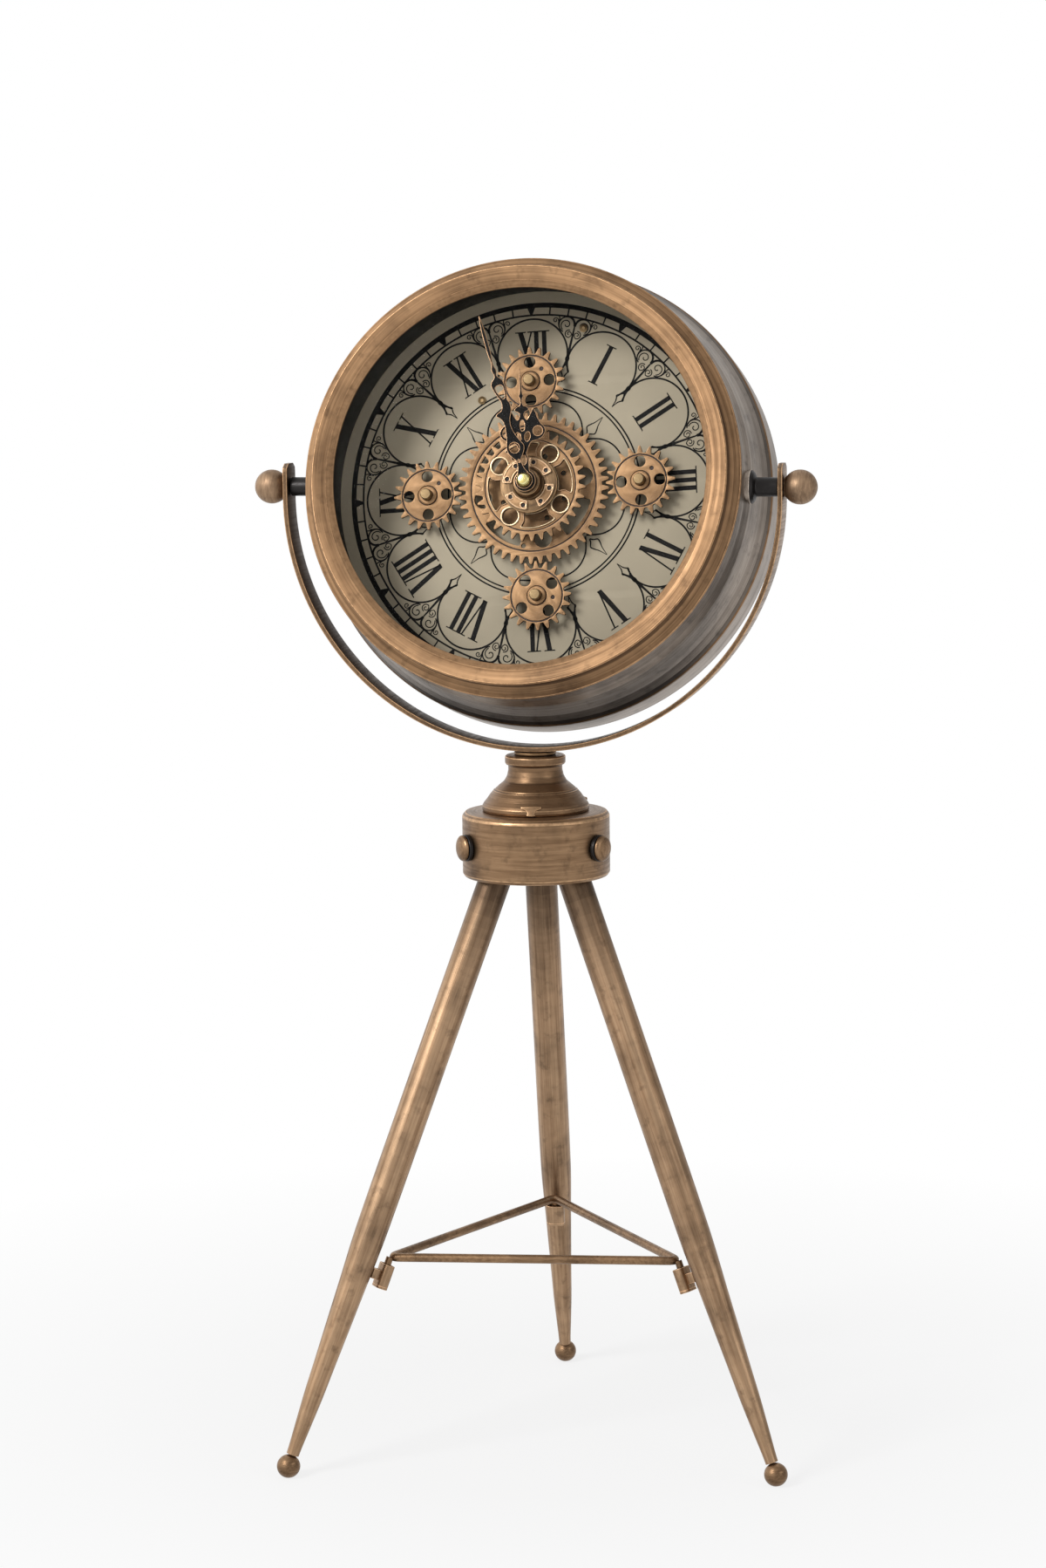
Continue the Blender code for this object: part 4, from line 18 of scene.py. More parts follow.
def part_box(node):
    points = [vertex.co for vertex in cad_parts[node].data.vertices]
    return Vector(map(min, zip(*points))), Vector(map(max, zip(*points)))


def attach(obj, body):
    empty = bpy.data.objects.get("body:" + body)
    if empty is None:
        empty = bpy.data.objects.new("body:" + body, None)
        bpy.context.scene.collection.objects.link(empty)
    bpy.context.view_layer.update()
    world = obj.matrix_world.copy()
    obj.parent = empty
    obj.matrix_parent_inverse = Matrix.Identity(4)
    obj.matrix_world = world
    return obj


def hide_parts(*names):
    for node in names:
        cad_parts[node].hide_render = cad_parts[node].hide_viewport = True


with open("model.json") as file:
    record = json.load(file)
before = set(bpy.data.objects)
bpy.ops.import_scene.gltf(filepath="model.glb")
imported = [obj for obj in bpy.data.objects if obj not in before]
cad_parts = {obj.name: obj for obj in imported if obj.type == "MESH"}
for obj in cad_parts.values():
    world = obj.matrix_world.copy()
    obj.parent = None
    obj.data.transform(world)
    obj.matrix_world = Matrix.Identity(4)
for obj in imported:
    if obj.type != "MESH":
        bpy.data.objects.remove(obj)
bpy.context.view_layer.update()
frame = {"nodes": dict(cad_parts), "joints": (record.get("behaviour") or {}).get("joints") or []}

MM = 0.001
DEGREE = math.pi / 180
FULL_TURN = 2 * math.pi
QUARTERS = [k * FULL_TURN / 4 for k in range(4)]
IDENTITY = Matrix.Identity(4)

# How finely circles are cut
FINE_STEPS, ROUND_STEPS, SMALL_STEPS, HOLE_STEPS, TINY_STEPS = 192, 96, 48, 40, 24
FOOT_ARC, KNOB_ARC, BOLT_ARC, WIRE_SIDES, PEG_SIDES = 24, 28, 12, 24, 20

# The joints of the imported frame, and which way each side lies
JOINTS = {joint["name"]: joint for joint in frame["joints"]}
SIDES = {"left": -1, "right": 1}


def joint_place(name):
    return Vector(JOINTS[name]["pos_m"])


def axes(origin, x_axis, y_axis, z_axis):
    made = Matrix((x_axis, y_axis, z_axis)).transposed().to_4x4()
    made.translation = origin
    return made


def at(x, y, z=0.0):
    """A place in metres."""
    return Vector((x, y, z)) * MM


def moved(x, y, z=0.0):
    return Matrix.Translation(at(x, y, z))


PIVOT = joint_place("head_tilt")
SIDEWAYS = Vector(JOINTS["head_tilt"]["axis"]).normalized()
FACING = Vector(JOINTS["gear_cluster_spin"]["axis"]).normalized()
UPWARD = Vector((0, 0, 1))
DIAL_CENTRE = joint_place("gear_cluster_spin")
DIAL_UP = (joint_place("gear_top_spin") - DIAL_CENTRE).normalized()
HEAD = axes(PIVOT, SIDEWAYS, FACING.cross(SIDEWAYS), FACING)
DIAL = axes(DIAL_CENTRE, DIAL_UP.cross(FACING), DIAL_UP, FACING)
YOKE = axes(PIVOT, SIDEWAYS, UPWARD.cross(SIDEWAYS), UPWARD)
STAND = Matrix.Translation((*joint_place("head_swivel").xy, 0))


def side_frame(side):
    """Its z axis points outward along the pivots."""
    out = SIDEWAYS * SIDES[side]
    return axes(PIVOT, UPWARD.cross(out), UPWARD, out)


# Outlines
FULL_RUB_AND_SHADE_TURN = 50 * DEGREE
LEAST_TANGENT = 0.01
MOST_OF_EDGE = 0.48


def bend(first, corner, last, steps):
    """Points of a smooth turn at a corner."""
    shares = [k / steps for k in range(steps + 1)]
    return [first * (1 - s) ** 2 + corner * 2 * s * (1 - s) + last * s**2 for s in shares]


def rounded(corners, closed=True, arcs=3):
    """An outline with rounded corners, as (x, y, rub and shade of the edge that follows)."""
    count = len(corners)
    area = sum(corners[i - 1][0] * corners[i][1] - corners[i][0] * corners[i - 1][1] for i in range(count))
    made = []
    for i, (x, y, *extra) in enumerate(corners):
        radius = extra[0] if extra else 0.0
        if not radius or (not closed and i in (0, count - 1)):
            made.append((x, y, 0.0))
            continue
        here = Vector((x, y))
        back = Vector(corners[i - 1][:2]) - here
        ahead = Vector(corners[(i + 1) % count][:2]) - here
        angle = back.angle(ahead, math.pi)
        reach = radius / max(math.tan(angle / 2), LEAST_TANGENT)
        reach = min(reach, MOST_OF_EDGE * back.length, MOST_OF_EDGE * ahead.length)
        outward_turn = (ahead.x * back.y - ahead.y * back.x) * area > 0
        # Outward corners are rubbed bright; inward corners are darkened, painted shade in the crease.
        rub_and_shade = min(1.0, (math.pi - angle) / FULL_RUB_AND_SHADE_TURN) * (1 if outward_turn else -1)
        rub_and_shade, rub_and_shade_after = (extra[1], extra[1]) if len(extra) > 1 else (rub_and_shade, 0.0)
        first, last = here + back.normalized() * reach, here + ahead.normalized() * reach
        *turn, end = bend(first, here, last, arcs)
        made += [(point.x, point.y, rub_and_shade) for point in turn]
        made.append((end.x, end.y, rub_and_shade_after))
    return made


def rounded_box(low, high, radius, arcs=3):
    corners = (low, (high[0], low[1]), high, (low[0], high[1]))
    return rounded([(*corner, radius) for corner in corners], True, arcs)


def smooth_line(points, closed=False, cuts=5):
    """A smooth curve through the points."""
    count = len(points)
    made = []
    for i in range(count if closed else count - 1):
        numbers = [(i + k) % count if closed else min(max(i + k, 0), count - 1) for k in (-1, 0, 1, 2)]
        columns = list(zip(*(points[number] for number in numbers)))
        for k in range(cuts):
            t = k / cuts
            weights = (-t + 2 * t**2 - t**3, 2 - 5 * t**2 + 3 * t**3, t + 4 * t**2 - 3 * t**3,
                       t**3 - t**2)
            made.append(tuple(sum(w * c for w, c in zip(weights, column)) / 2 for column in columns))
    if not closed:
        made.append(tuple(points[-1]))
    return made


def circle(radius, centre=(0, 0), steps=SMALL_STEPS, stretch=1.0, lean=0.0):
    """A circle, or an ellipse stretched along a leaning y axis."""
    made = []
    for k in range(steps):
        a = FULL_TURN * k / steps
        x, y = radius * math.cos(a), radius * stretch * math.sin(a)
        across = centre[0] + x * math.cos(lean) - y * math.sin(lean)
        made.append((across, centre[1] + x * math.sin(lean) + y * math.cos(lean)))
    return made


def polar(radius, angle):
    """A place at this radius, the angle clockwise from twelve."""
    return (radius * math.sin(angle), radius * math.cos(angle))


def ball_profile(radius, middle, start, steps, rise=None):
    """A ball or a dome up to just below its top; the start is an angle from straight down."""
    angles = [start + (math.pi - start) * k / steps for k in range(steps)]
    return [(radius * math.sin(a), middle - (rise or radius) * math.cos(a)) for a in angles]


def raised(profile, height):
    return [(radius, height + z, *extra) for radius, z, *extra in profile]


# Meshes
MERGE_DISTANCE = 0.002
BEVEL_CUTS = 2
BEVEL_FACING = (0.15, 0.97)
SHARP_ANGLE = 32 * DEGREE


def new_mesh():
    bm = bmesh.new()
    bm.faces.layers.float.new("rubbed_and_shaded")
    return bm


def ring_faces(bm, low, high, rub_and_shade):
    """Joins two rings of points with a row of faces; a ring on the axis is a single point."""
    layer = bm.faces.layers.float["rubbed_and_shaded"]
    steps = max(len(low), len(high))
    if steps == 1:
        return
    for i in range(steps):
        k = (i + 1) % steps
        corners = (low[i % len(low)], low[k % len(low)], high[k % len(high)], high[i % len(high)])
        face = bm.faces.new(list(dict.fromkeys(corners)))
        face[layer] = rub_and_shade[i]


def lathe(bm, profile, steps=ROUND_STEPS, closed=False, matrix=IDENTITY):
    """Turns (radius, height, rub and shade) points round z. An open profile starts and ends on the axis."""
    rings = []
    for radius, height, _ in profile:
        count = steps if radius > MERGE_DISTANCE else 1
        angles = [FULL_TURN * k / count for k in range(count)]
        places = [at(radius * math.cos(a), radius * math.sin(a), height) for a in angles]
        rings.append([bm.verts.new(matrix @ place) for place in places])
    for i in range(len(rings) if closed else len(rings) - 1):
        ring_faces(bm, rings[i], rings[(i + 1) % len(rings)], [profile[i][2]] * steps)


def loft(bm, sections, rub_and_shade=None, looped=False):
    """Joins sections, lists of as many points, and caps the ends."""
    rings = [[bm.verts.new(at(*point)) for point in section] for section in sections]
    for low, high in zip(rings, rings[1:] + rings[:1] if looped else rings[1:]):
        ring_faces(bm, low, high, rub_and_shade or [0.0] * len(low))
    if not looped:
        bm.faces.new(rings[0])
        bm.faces.new(rings[-1])


def tube(bm, points, radius, sides, looped=False):
    """A round rod along the points."""
    count = len(points)
    side = None
    sections = []
    for i, point in enumerate(points):
        before = points[i - 1] if i or looped else point
        after = points[(i + 1) % count] if i < count - 1 or looped else point
        along = (after - before).normalized()
        side = side or along.orthogonal().normalized()
        side = (side - along * side.dot(along)).normalized()
        across = along.cross(side)
        angles = [FULL_TURN * k / sides for k in range(sides)]
        sections.append([point + (side * math.cos(a) + across * math.sin(a)) * radius for a in angles])
    loft(bm, sections, looped=looped)


def plate(bm, outlines, low, high, bevel=0.0, inset=0.0, matrix=IDENTITY):
    """A flat piece with holes and rounded edges, made by filling a 2D curve drawn in from its outlines."""
    curve = bpy.data.curves.new("plate_outline", "CURVE")
    curve.dimensions = "2D"
    curve.fill_mode = "BOTH"
    curve.extrude = ((high - low) / 2 - bevel) * MM
    curve.bevel_depth = bevel * MM
    curve.bevel_resolution = BEVEL_CUTS
    curve.offset = -(bevel + inset) * MM
    for outline in outlines:
        line = curve.splines.new("POLY")
        line.points.add(len(outline) - 1)
        for item, (x, y, *_) in zip(line.points, outline):
            item.co = (x * MM, y * MM, 0, 1)
        line.use_cyclic_u = True
    guide = bpy.data.objects.new("plate_outline", curve)
    bpy.context.scene.collection.objects.link(guide)
    mesh = bpy.data.meshes.new_from_object(guide.evaluated_get(bpy.context.evaluated_depsgraph_get()))
    mesh.transform(matrix @ moved(0, 0, (low + high) / 2))
    bpy.data.objects.remove(guide)
    bpy.data.curves.remove(curve)
    part = new_mesh()
    part.from_mesh(mesh)
    bmesh.ops.remove_doubles(part, verts=part.verts, dist=MERGE_DISTANCE * MM)
    bmesh.ops.dissolve_degenerate(part, edges=part.edges, dist=MERGE_DISTANCE * MM)
    layer = part.faces.layers.float["rubbed_and_shaded"]
    axis = matrix.to_3x3() @ UPWARD
    part.normal_update()
    for face in part.faces:
        face[layer] = float(BEVEL_FACING[0] < abs(face.normal.dot(axis)) < BEVEL_FACING[1])
    part.to_mesh(mesh)
    part.free()
    bm.from_mesh(mesh)
    bpy.data.meshes.remove(mesh)


def piece(name, bm, matrix, body, finish, nodes=()):
    """The finished object: it rides on a body and stands for the CAD nodes."""
    bmesh.ops.recalc_face_normals(bm, faces=bm.faces)
    mesh = bpy.data.meshes.new(name)
    bm.to_mesh(mesh)
    bm.free()
    mesh.shade_smooth()
    mesh.set_sharp_from_angle(angle=SHARP_ANGLE)
    mesh.materials.append(finish)
    item = bpy.data.objects.new(name, mesh)
    bpy.context.scene.collection.objects.link(item)
    item.matrix_world = matrix
    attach(item, body)
    if nodes:
        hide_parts(*nodes)
    return item


def turned_piece(name, corners, matrix, body, finish, nodes=(), steps=SMALL_STEPS, closed=False,
                 arcs=3):
    bm = new_mesh()
    lathe(bm, rounded(corners, closed, arcs), steps, closed)
    return piece(name, bm, matrix, body, finish, nodes)


def plate_piece(name, layers, matrix, body, finish, nodes=(), turned=IDENTITY):
    """A piece of flat layers, each given as its outlines, low, high, bevel and inset."""
    bm = new_mesh()
    for layer in layers:
        plate(bm, *layer, matrix=turned)
    return piece(name, bm, matrix, body, finish, nodes)


# Finishes
# The mix node's sockets for its share and its two values, and its output
MIX_SOCKETS = {"FLOAT": (0, 2, 3, 0), "RGBA": (0, 6, 7, 2)}


class NodeTree:
    """Short calls for the nodes of a material or a world."""

    def __init__(self, owner):
        owner.use_nodes = True
        self.nodes = owner.node_tree.nodes
        self.links = owner.node_tree.links

    def node(self, kind, **settings):
        made = self.nodes.new(kind)
        for key, value in settings.items():
            setattr(made, key, value)
        return made

    def set(self, socket, value):
        """Links an output, or writes a number, a vector or a colour."""
        if isinstance(value, bpy.types.NodeSocket):
            self.links.new(value, socket)
        elif isinstance(value, tuple):
            socket.default_value = (*value, 1.0)[: len(socket.default_value)]
        else:
            socket.default_value = value

    def set_all(self, node, **inputs):
        for key, value in inputs.items():
            self.set(node.inputs[key.replace("_", " ")], value)

    def maths(self, operation, first, second=0.0):
        made = self.node("ShaderNodeMath", operation=operation)
        self.set(made.inputs[0], first)
        self.set(made.inputs[1], second)
        return made.outputs[0]

    def place(self):
        return self.node("ShaderNodeTexCoord").outputs["Object"]

    def spread(self, value, low, high, to_low=0.0, to_high=1.0):
        made = self.node("ShaderNodeMapRange")
        self.set_all(made, Value=value, From_Min=low, From_Max=high, To_Min=to_low, To_Max=to_high)
        return made.outputs[0]

    def mix(self, share, first, second, kind="RGBA"):
        made = self.node("ShaderNodeMix", data_type=kind)
        *numbers, result = MIX_SOCKETS[kind]
        for number, value in zip(numbers, (share, first, second)):
            self.set(made.inputs[number], value)
        return made.outputs[result]


class Finish(NodeTree):
    """A material being made round its Principled shader."""

    def __init__(self, name, roughness, metallic=0.0):
        self.made = bpy.data.materials.new(name)
        super().__init__(self.made)
        self.shader = self.nodes["Principled BSDF"]
        self.set_all(self.shader, Roughness=roughness, Metallic=metallic)

    def stretched(self, *scales):
        """The place on the piece, with each axis scaled, for grain that runs one way."""
        made = self.node("ShaderNodeVectorMath", operation="MULTIPLY")
        self.set(made.inputs[0], self.place())
        self.set(made.inputs[1], scales)
        return made.outputs[0]

    def turned_grain(self, round_scale, across_scale):
        """A place whose grain runs round the z axis: long around, fine across."""
        split = self.node("ShaderNodeSeparateXYZ")
        self.set(split.inputs[0], self.place())
        x, y, z = split.outputs
        squares = self.maths("ADD", self.maths("MULTIPLY", x, x), self.maths("MULTIPLY", y, y))
        radius = self.maths("SQRT", squares)
        least = self.maths("MAXIMUM", radius, LEAST_RADIUS * MM)
        join = self.node("ShaderNodeCombineXYZ")
        for socket, value in zip(join.inputs, (x, y)):
            direction = self.maths("DIVIDE", value, least)
            self.set(socket, self.maths("MULTIPLY", direction, round_scale))
        self.set(join.inputs[2], self.maths("MULTIPLY", z, across_scale))
        return join.outputs[0], self.maths("MULTIPLY", radius, across_scale)

    def noise(self, scale, detail, rough, vector=None, fourth=None):
        made = self.node("ShaderNodeTexNoise", noise_dimensions="3D" if fourth is None else "4D")
        self.set_all(made, Vector=vector or self.place(), Scale=scale, Detail=detail, Roughness=rough)
        if fourth:
            self.set(made.inputs["W"], fourth)
        return made.outputs["Fac"]

    def rubbed_and_shaded(self):
        return self.node("ShaderNodeAttribute", attribute_name="rubbed_and_shaded").outputs["Fac"]

    def bump(self, height, distance, strength):
        made = self.node("ShaderNodeBump")
        self.set_all(made, Strength=strength, Distance=distance * MM, Height=height)
        self.set(self.shader.inputs["Normal"], made.outputs[0])


# Scales of the aged metal's noises: around the axis and, per metre, across it, or per metre along x, y and z
ROUND_STREAKS, ROUND_FINE = (1.4, 900), (5, 2600)
LONG_STREAKS, LONG_FINE = (620, 620, 14), (1860, 1860, 42)
PATCH_SCALE, BLOTCH_SCALE, CHIP_SCALE = 30.0, 160.0, 420.0
STREAK_SHARE, PATCH_SHARE, BLOTCH_SHARE, SHADE_AND_PATINA_SHARE = 0.75, 0.75, 0.45, 0.85
EDGE_GAIN, LEAST_RADIUS = 1.7, 0.01


def aged_copper(name, shades, roughness=0.36, metallic=0.9, streak=1.0, along=False):
    """Antique plated metal: brushed streaks, dark patina patches, rubbed bright edges, painted shade in
    creases.
    """
    dark, middle, bright = shades
    made = Finish(name, roughness, metallic)
    if along:
        streaks = made.noise(1.0, 4.0, 0.6, made.stretched(*LONG_STREAKS))
        fine = made.noise(1.0, 2.0, 0.5, made.stretched(*LONG_FINE))
    else:
        streaks = made.noise(1.0, 4.0, 0.6, *made.turned_grain(*ROUND_STREAKS))
        fine = made.noise(1.0, 2.0, 0.5, *made.turned_grain(*ROUND_FINE))
    patches = made.noise(PATCH_SCALE, 4.0, 0.6)
    blotches = made.noise(BLOTCH_SCALE, 3.0, 0.6)
    chips = made.noise(CHIP_SCALE, 3.0, 0.6)
    brushed = made.maths("MULTIPLY", made.spread(streaks, 0.34, 0.66), STREAK_SHARE * streak)
    tone = made.mix(brushed, middle, bright)
    shade = made.maths("MULTIPLY", made.spread(patches, 0.44, 0.68),
                       made.spread(fine, 0.25, 0.7, 0.35, 1.0))
    tone = made.mix(made.maths("MULTIPLY", shade, PATCH_SHARE), tone, dark)
    tone = made.mix(made.spread(blotches, 0.56, 0.74, 0.0, BLOTCH_SHARE), tone, dark)
    edge = made.rubbed_and_shaded()
    rubbed = made.maths("MULTIPLY", made.maths("MAXIMUM", edge, 0.0),
                        made.spread(chips, 0.3, 0.62, 0.25, 1.0))
    tone = made.mix(rubbed, tone, tuple(min(1.0, c * EDGE_GAIN) for c in bright))
    # Edges marked below zero go dark: painted shade in creases and grooves, and the legs' darker tops.
    shade_and_patina = made.maths("MAXIMUM", made.maths("MULTIPLY", edge, -1.0), 0.0)
    tone = made.mix(made.maths("MULTIPLY", shade_and_patina, SHADE_AND_PATINA_SHARE), tone, dark)
    rough = made.spread(streaks, 0.3, 0.7, roughness + 0.1, roughness - 0.06)
    made.set_all(made.shader, Base_Color=tone, Roughness=rough)
    made.bump(fine, 0.2, 0.25)
    return made.made


def painted(name, colour, roughness, mottle=0.12, grain=300.0, metallic=0.0, bump=0.08, shine=0.5):
    """Paint with a slight mottle and a fine surface."""
    made = Finish(name, roughness, metallic)
    cloud = made.noise(24.0, 4.0, 0.55)
    fine = made.noise(grain, 3.0, 0.6)
    darker = tuple(c * (1 - mottle) for c in colour)
    lighter = tuple(min(1.0, c * (1 + mottle)) for c in colour)
    tone = made.mix(made.spread(cloud, 0.35, 0.65), darker, lighter)
    tone = made.mix(made.spread(fine, 0.55, 0.75, 0.0, 0.25), tone, darker)
    rough = made.spread(fine, 0.3, 0.7, roughness - 0.05, roughness + 0.07)
    made.set_all(made.shader, Base_Color=tone, Roughness=rough, Specular_IOR_Level=shine)
    made.bump(made.noise(grain * 4, 2.0, 0.5), bump, 0.3)
    return made.made


def clear_glass(name):
    """Glass so clear that only its glancing reflections and a faint smear show."""
    made = Finish(name, 0.02)
    facing = made.node("ShaderNodeLayerWeight")
    made.set(facing.inputs["Blend"], 0.25)
    glancing = made.spread(facing.outputs["Facing"], 0.05, 1.0, 0.008, 0.35)
    smear = made.spread(made.noise(30.0, 3.0, 0.5), 0.5, 0.7, 0.0, 0.006)
    made.set_all(made.shader, Base_Color=(0.02, 0.022, 0.022), IOR=1.5,
                 Alpha=made.maths("ADD", glancing, smear))
    return made.made


# Dark, middle and bright shade of each metal
COPPER_SHADES = ((0.045, 0.024, 0.013), (0.195, 0.11, 0.055), (0.36, 0.215, 0.112))
STAND_SHADES = ((0.035, 0.02, 0.012), (0.185, 0.108, 0.057), (0.36, 0.225, 0.125))
KNOB_SHADES = ((0.045, 0.028, 0.018), (0.265, 0.17, 0.105), (0.46, 0.31, 0.19))
LEG_SHADES = ((0.04, 0.024, 0.015), (0.27, 0.165, 0.093), (0.52, 0.345, 0.21))
CASE_SHADES = ((0.045, 0.033, 0.025), (0.28, 0.228, 0.185), (0.5, 0.43, 0.365))
BAND_SHADES = ((0.1, 0.085, 0.07), (0.27, 0.225, 0.19), (0.45, 0.385, 0.33))
GEAR_SHADES = ((0.09, 0.045, 0.02), (0.35, 0.2, 0.093), (0.45, 0.275, 0.14))
RIM_SHADES = ((0.14, 0.07, 0.035), (0.5, 0.3, 0.17), (0.75, 0.5, 0.32))
EDGE_SHADES = ((0.2, 0.1, 0.05), (0.42, 0.24, 0.125), (0.6, 0.37, 0.21))
CONE_SHADES = ((0.025, 0.017, 0.012), (0.12, 0.075, 0.042), (0.32, 0.2, 0.1))
PIN_SHADES = ((0.1, 0.065, 0.03), (0.27, 0.18, 0.085), (0.36, 0.26, 0.14))
BRASS_SHADES = ((0.4, 0.3, 0.09), (0.66, 0.54, 0.19), (0.8, 0.7, 0.32))
copper_round = aged_copper("copper_turned", COPPER_SHADES, 0.47)
copper_knob = aged_copper("copper_rubbed", KNOB_SHADES, 0.45)
copper_stand = aged_copper("copper_brushed_round", STAND_SHADES)
copper_cast = aged_copper("copper_cast_mottled", STAND_SHADES, streak=0.4)
copper_long = aged_copper("copper_brushed_long", LEG_SHADES, along=True)
bronze_case = aged_copper("dark_bronze_spun", CASE_SHADES, streak=0.6)
band_bronze = aged_copper("bronze_band", BAND_SHADES, 0.42)
gear_paint = aged_copper("gear_copper_paint", GEAR_SHADES, 0.48, 0.6, 0.5)
gear_rim = aged_copper("gear_bright_rim", RIM_SHADES, 0.32, 0.85, 0.5)
gear_groove = painted("gear_groove_dark", (0.05, 0.027, 0.017), 0.6, 0.3)
dial_face = painted("dial_greige_paint", (0.59, 0.51, 0.37), 0.62, 0.05, 260.0, shine=0.25)
dial_ink = painted("dial_black_print", (0.012, 0.011, 0.01), 0.6, 0.2, shine=0.12)
black_wall = painted("black_wall_paint", (0.012, 0.012, 0.011), 0.5, 0.25, shine=0.3)
black_steel = painted("blackened_steel", (0.02, 0.017, 0.016), 0.38, 0.3, 500.0, 0.6)
hand_black = painted("hand_black_paint", (0.006, 0.005, 0.004), 0.2, 0.3, 500.0, shine=0.12)
hand_edge = aged_copper("hand_copper_edge", EDGE_SHADES, 0.35)
cone_bronze = aged_copper("dark_cone_bronze", CONE_SHADES, 0.38)
pin_brass = aged_copper("dull_pin_brass", PIN_SHADES, 0.45, 0.8, 0.6)
brass = aged_copper("polished_brass", BRASS_SHADES, 0.2, 1.0, 0.6)
battery_sleeve = painted("battery_sleeve_plain", (0.05, 0.11, 0.3), 0.35, 0.05)
bright_steel = painted("bright_plated_steel", (0.5, 0.49, 0.47), 0.3, 0.12, 500.0, 1.0)
plastic = painted("moulded_black_plastic", (0.025, 0.025, 0.027), 0.5, 0.15, 900.0, bump=0.12)
glass = clear_glass("clear_glass")

# Stand
FOOT_CIRCLE, FOOT_RADIUS, FOOT_FLAT, BALL_RADIUS = 130, 5.6, 1.6, 5.44
FOOT_HEIGHT = math.sqrt(FOOT_RADIUS**2 - FOOT_FLAT**2)
LEG_LEAN = 22.2 * DEGREE
LEG_AZIMUTHS = {"left": 210 * DEGREE, "right": 330 * DEGREE, "back": 90 * DEGREE}
# Distance up the leg from the foot's centre, and the tube's radius there
LEG_STATIONS = ((5.6, 2.95), (8, 3), (12, 3.2), (20, 3.7), (35, 4.55), (50, 5.05), (70, 5.8), (87, 6.4),
                (110, 7.3), (130, 7.5), (150, 7.55), (200, 7.55), (230, 7.55), (250, 7.55), (270, 7.55),
                (300, 7.55))
LEG_DARK_START, LEG_DARK_END = 225, 290
HUB_BOTTOM, HUB_TOP, HUB_RADIUS = 272.3, 302.8, 34.4
HUB_PROFILE = ((0, HUB_BOTTOM), (32.6, HUB_BOTTOM), (33.4, HUB_BOTTOM + 0.2, 0.6),
               (HUB_RADIUS, HUB_BOTTOM + 1.6, 1), (HUB_RADIUS, HUB_TOP - 2, 2),
               (HUB_RADIUS - 1.4, HUB_TOP - 0.3, 1.2), (31, HUB_TOP), (0, HUB_TOP))
WASHER_PROFILE, WASHER_LIFT = ((0, 0), (6.2, 0, 0.3), (6.2, 1.8, 0.5), (0, 1.8)), 0.3
BOLT_RADIUS, BOLT_RIM, BOLT_CROWN, BOLT_LIFT = 6.0, 0.7, 2.3, 2.4
BOLT_HEIGHT = (HUB_BOTTOM + HUB_TOP) / 2
SEAT_GAP = 0.3
PEDESTAL_BASE, PEDESTAL_HEIGHT = HUB_TOP + SEAT_GAP, 25.8
PEDESTAL_PROFILE = ((0, 0.6), (23.2, 0.6), (23.4, 0), (24.8, 0, 0.3), (25, 1, 0.6), (24.9, 2.4, 1),
                    (24.2, 3.6, 2), (22.6, 5.6, 3), (21.2, 7.6, 3), (19.9, 9.1, 1), (19.7, 9.5, 0.3),
                    (19, 9.6, 0.3), (18.7, 10.2, 0.6), (17, 11.7, 3), (14.6, 13.7, 3), (13.2, 16.2, 3),
                    (12.6, 19, 3), (12.6, 21.2, 0.5), (13.6, 21.5, 0.4), (14.1, 22.3, 0.6),
                    (14.1, PEDESTAL_HEIGHT - 0.6, 0.6), (13.4, PEDESTAL_HEIGHT, 0.4),
                    (0, PEDESTAL_HEIGHT))
TAB_HALF = ((1.9, 0.05), (1.7, 1.2), (2.2, 2.6), (4.4, 3.4), (4.6, 4.6))
TAB_AZIMUTHS = (30 * DEGREE, 150 * DEGREE, 270 * DEGREE)
TAB_REACH, TAB_THICKNESS, TAB_BEVEL, TAB_LEAN = 24.9, 1.2, 0.25, -22 * DEGREE
CUP_REACH, CUP_LOW, CUP_HIGH, CUP_FLOOR, CUP_WALL = 13.6, 90.8, 102.3, 1.2, 0.7
CUP_HALF_DEPTH, CUP_HALF_WIDTH, CUP_CORNER, CUP_BEVEL = 2.8, 4.5, 2.6, 0.15
# The corners and the rounding of the cup's tab, and its heights over the bottom of the cup
CUP_TAB, CUP_TAB_LOW, CUP_TAB_HIGH, CUP_TAB_BEVEL = ((2.3, -2), (6.6, 2), 0.3), 3.4, 8.2, 0.2
BRACE_HEIGHT, BRACE_FOOT, BRACE_BEND, BRACE_BEND_STEPS = 105.7, 92.6, 5, 8
BRACE_WIRE, BRACE_PEG = 2.05, 1.7


def heading(azimuth):
    return Vector((math.cos(azimuth), math.sin(azimuth), 0))


def leg_frame(side):
    """Its z axis runs up the leg from the foot's centre, and its x axis points away from the tripod."""
    out = heading(LEG_AZIMUTHS[side])
    up = UPWARD * math.cos(LEG_LEAN) - out * math.sin(LEG_LEAN)
    across = up.cross(out).normalized()
    return STAND @ axes((out * FOOT_CIRCLE + UPWARD * FOOT_HEIGHT) * MM, across.cross(up), across, up)


def outward(azimuth, distance, height):
    """A frame whose z axis points away from the tripod's axis."""
    out = heading(azimuth)
    return STAND @ axes((out * distance + UPWARD * height) * MM, UPWARD.cross(out), UPWARD, out)


def cup_frame(side):
    return leg_frame(side) @ moved(-CUP_REACH, 0)


def make_foot(side):
    arc = ball_profile(BALL_RADIUS, 0, math.acos(FOOT_HEIGHT / BALL_RADIUS), FOOT_ARC)
    spot = Matrix.Translation(leg_frame(side).translation)
    turned_piece("ball_foot_" + side, [(0, -FOOT_HEIGHT), *arc, (0, BALL_RADIUS)], spot, "stand",
                 copper_stand, ["foot_" + side])


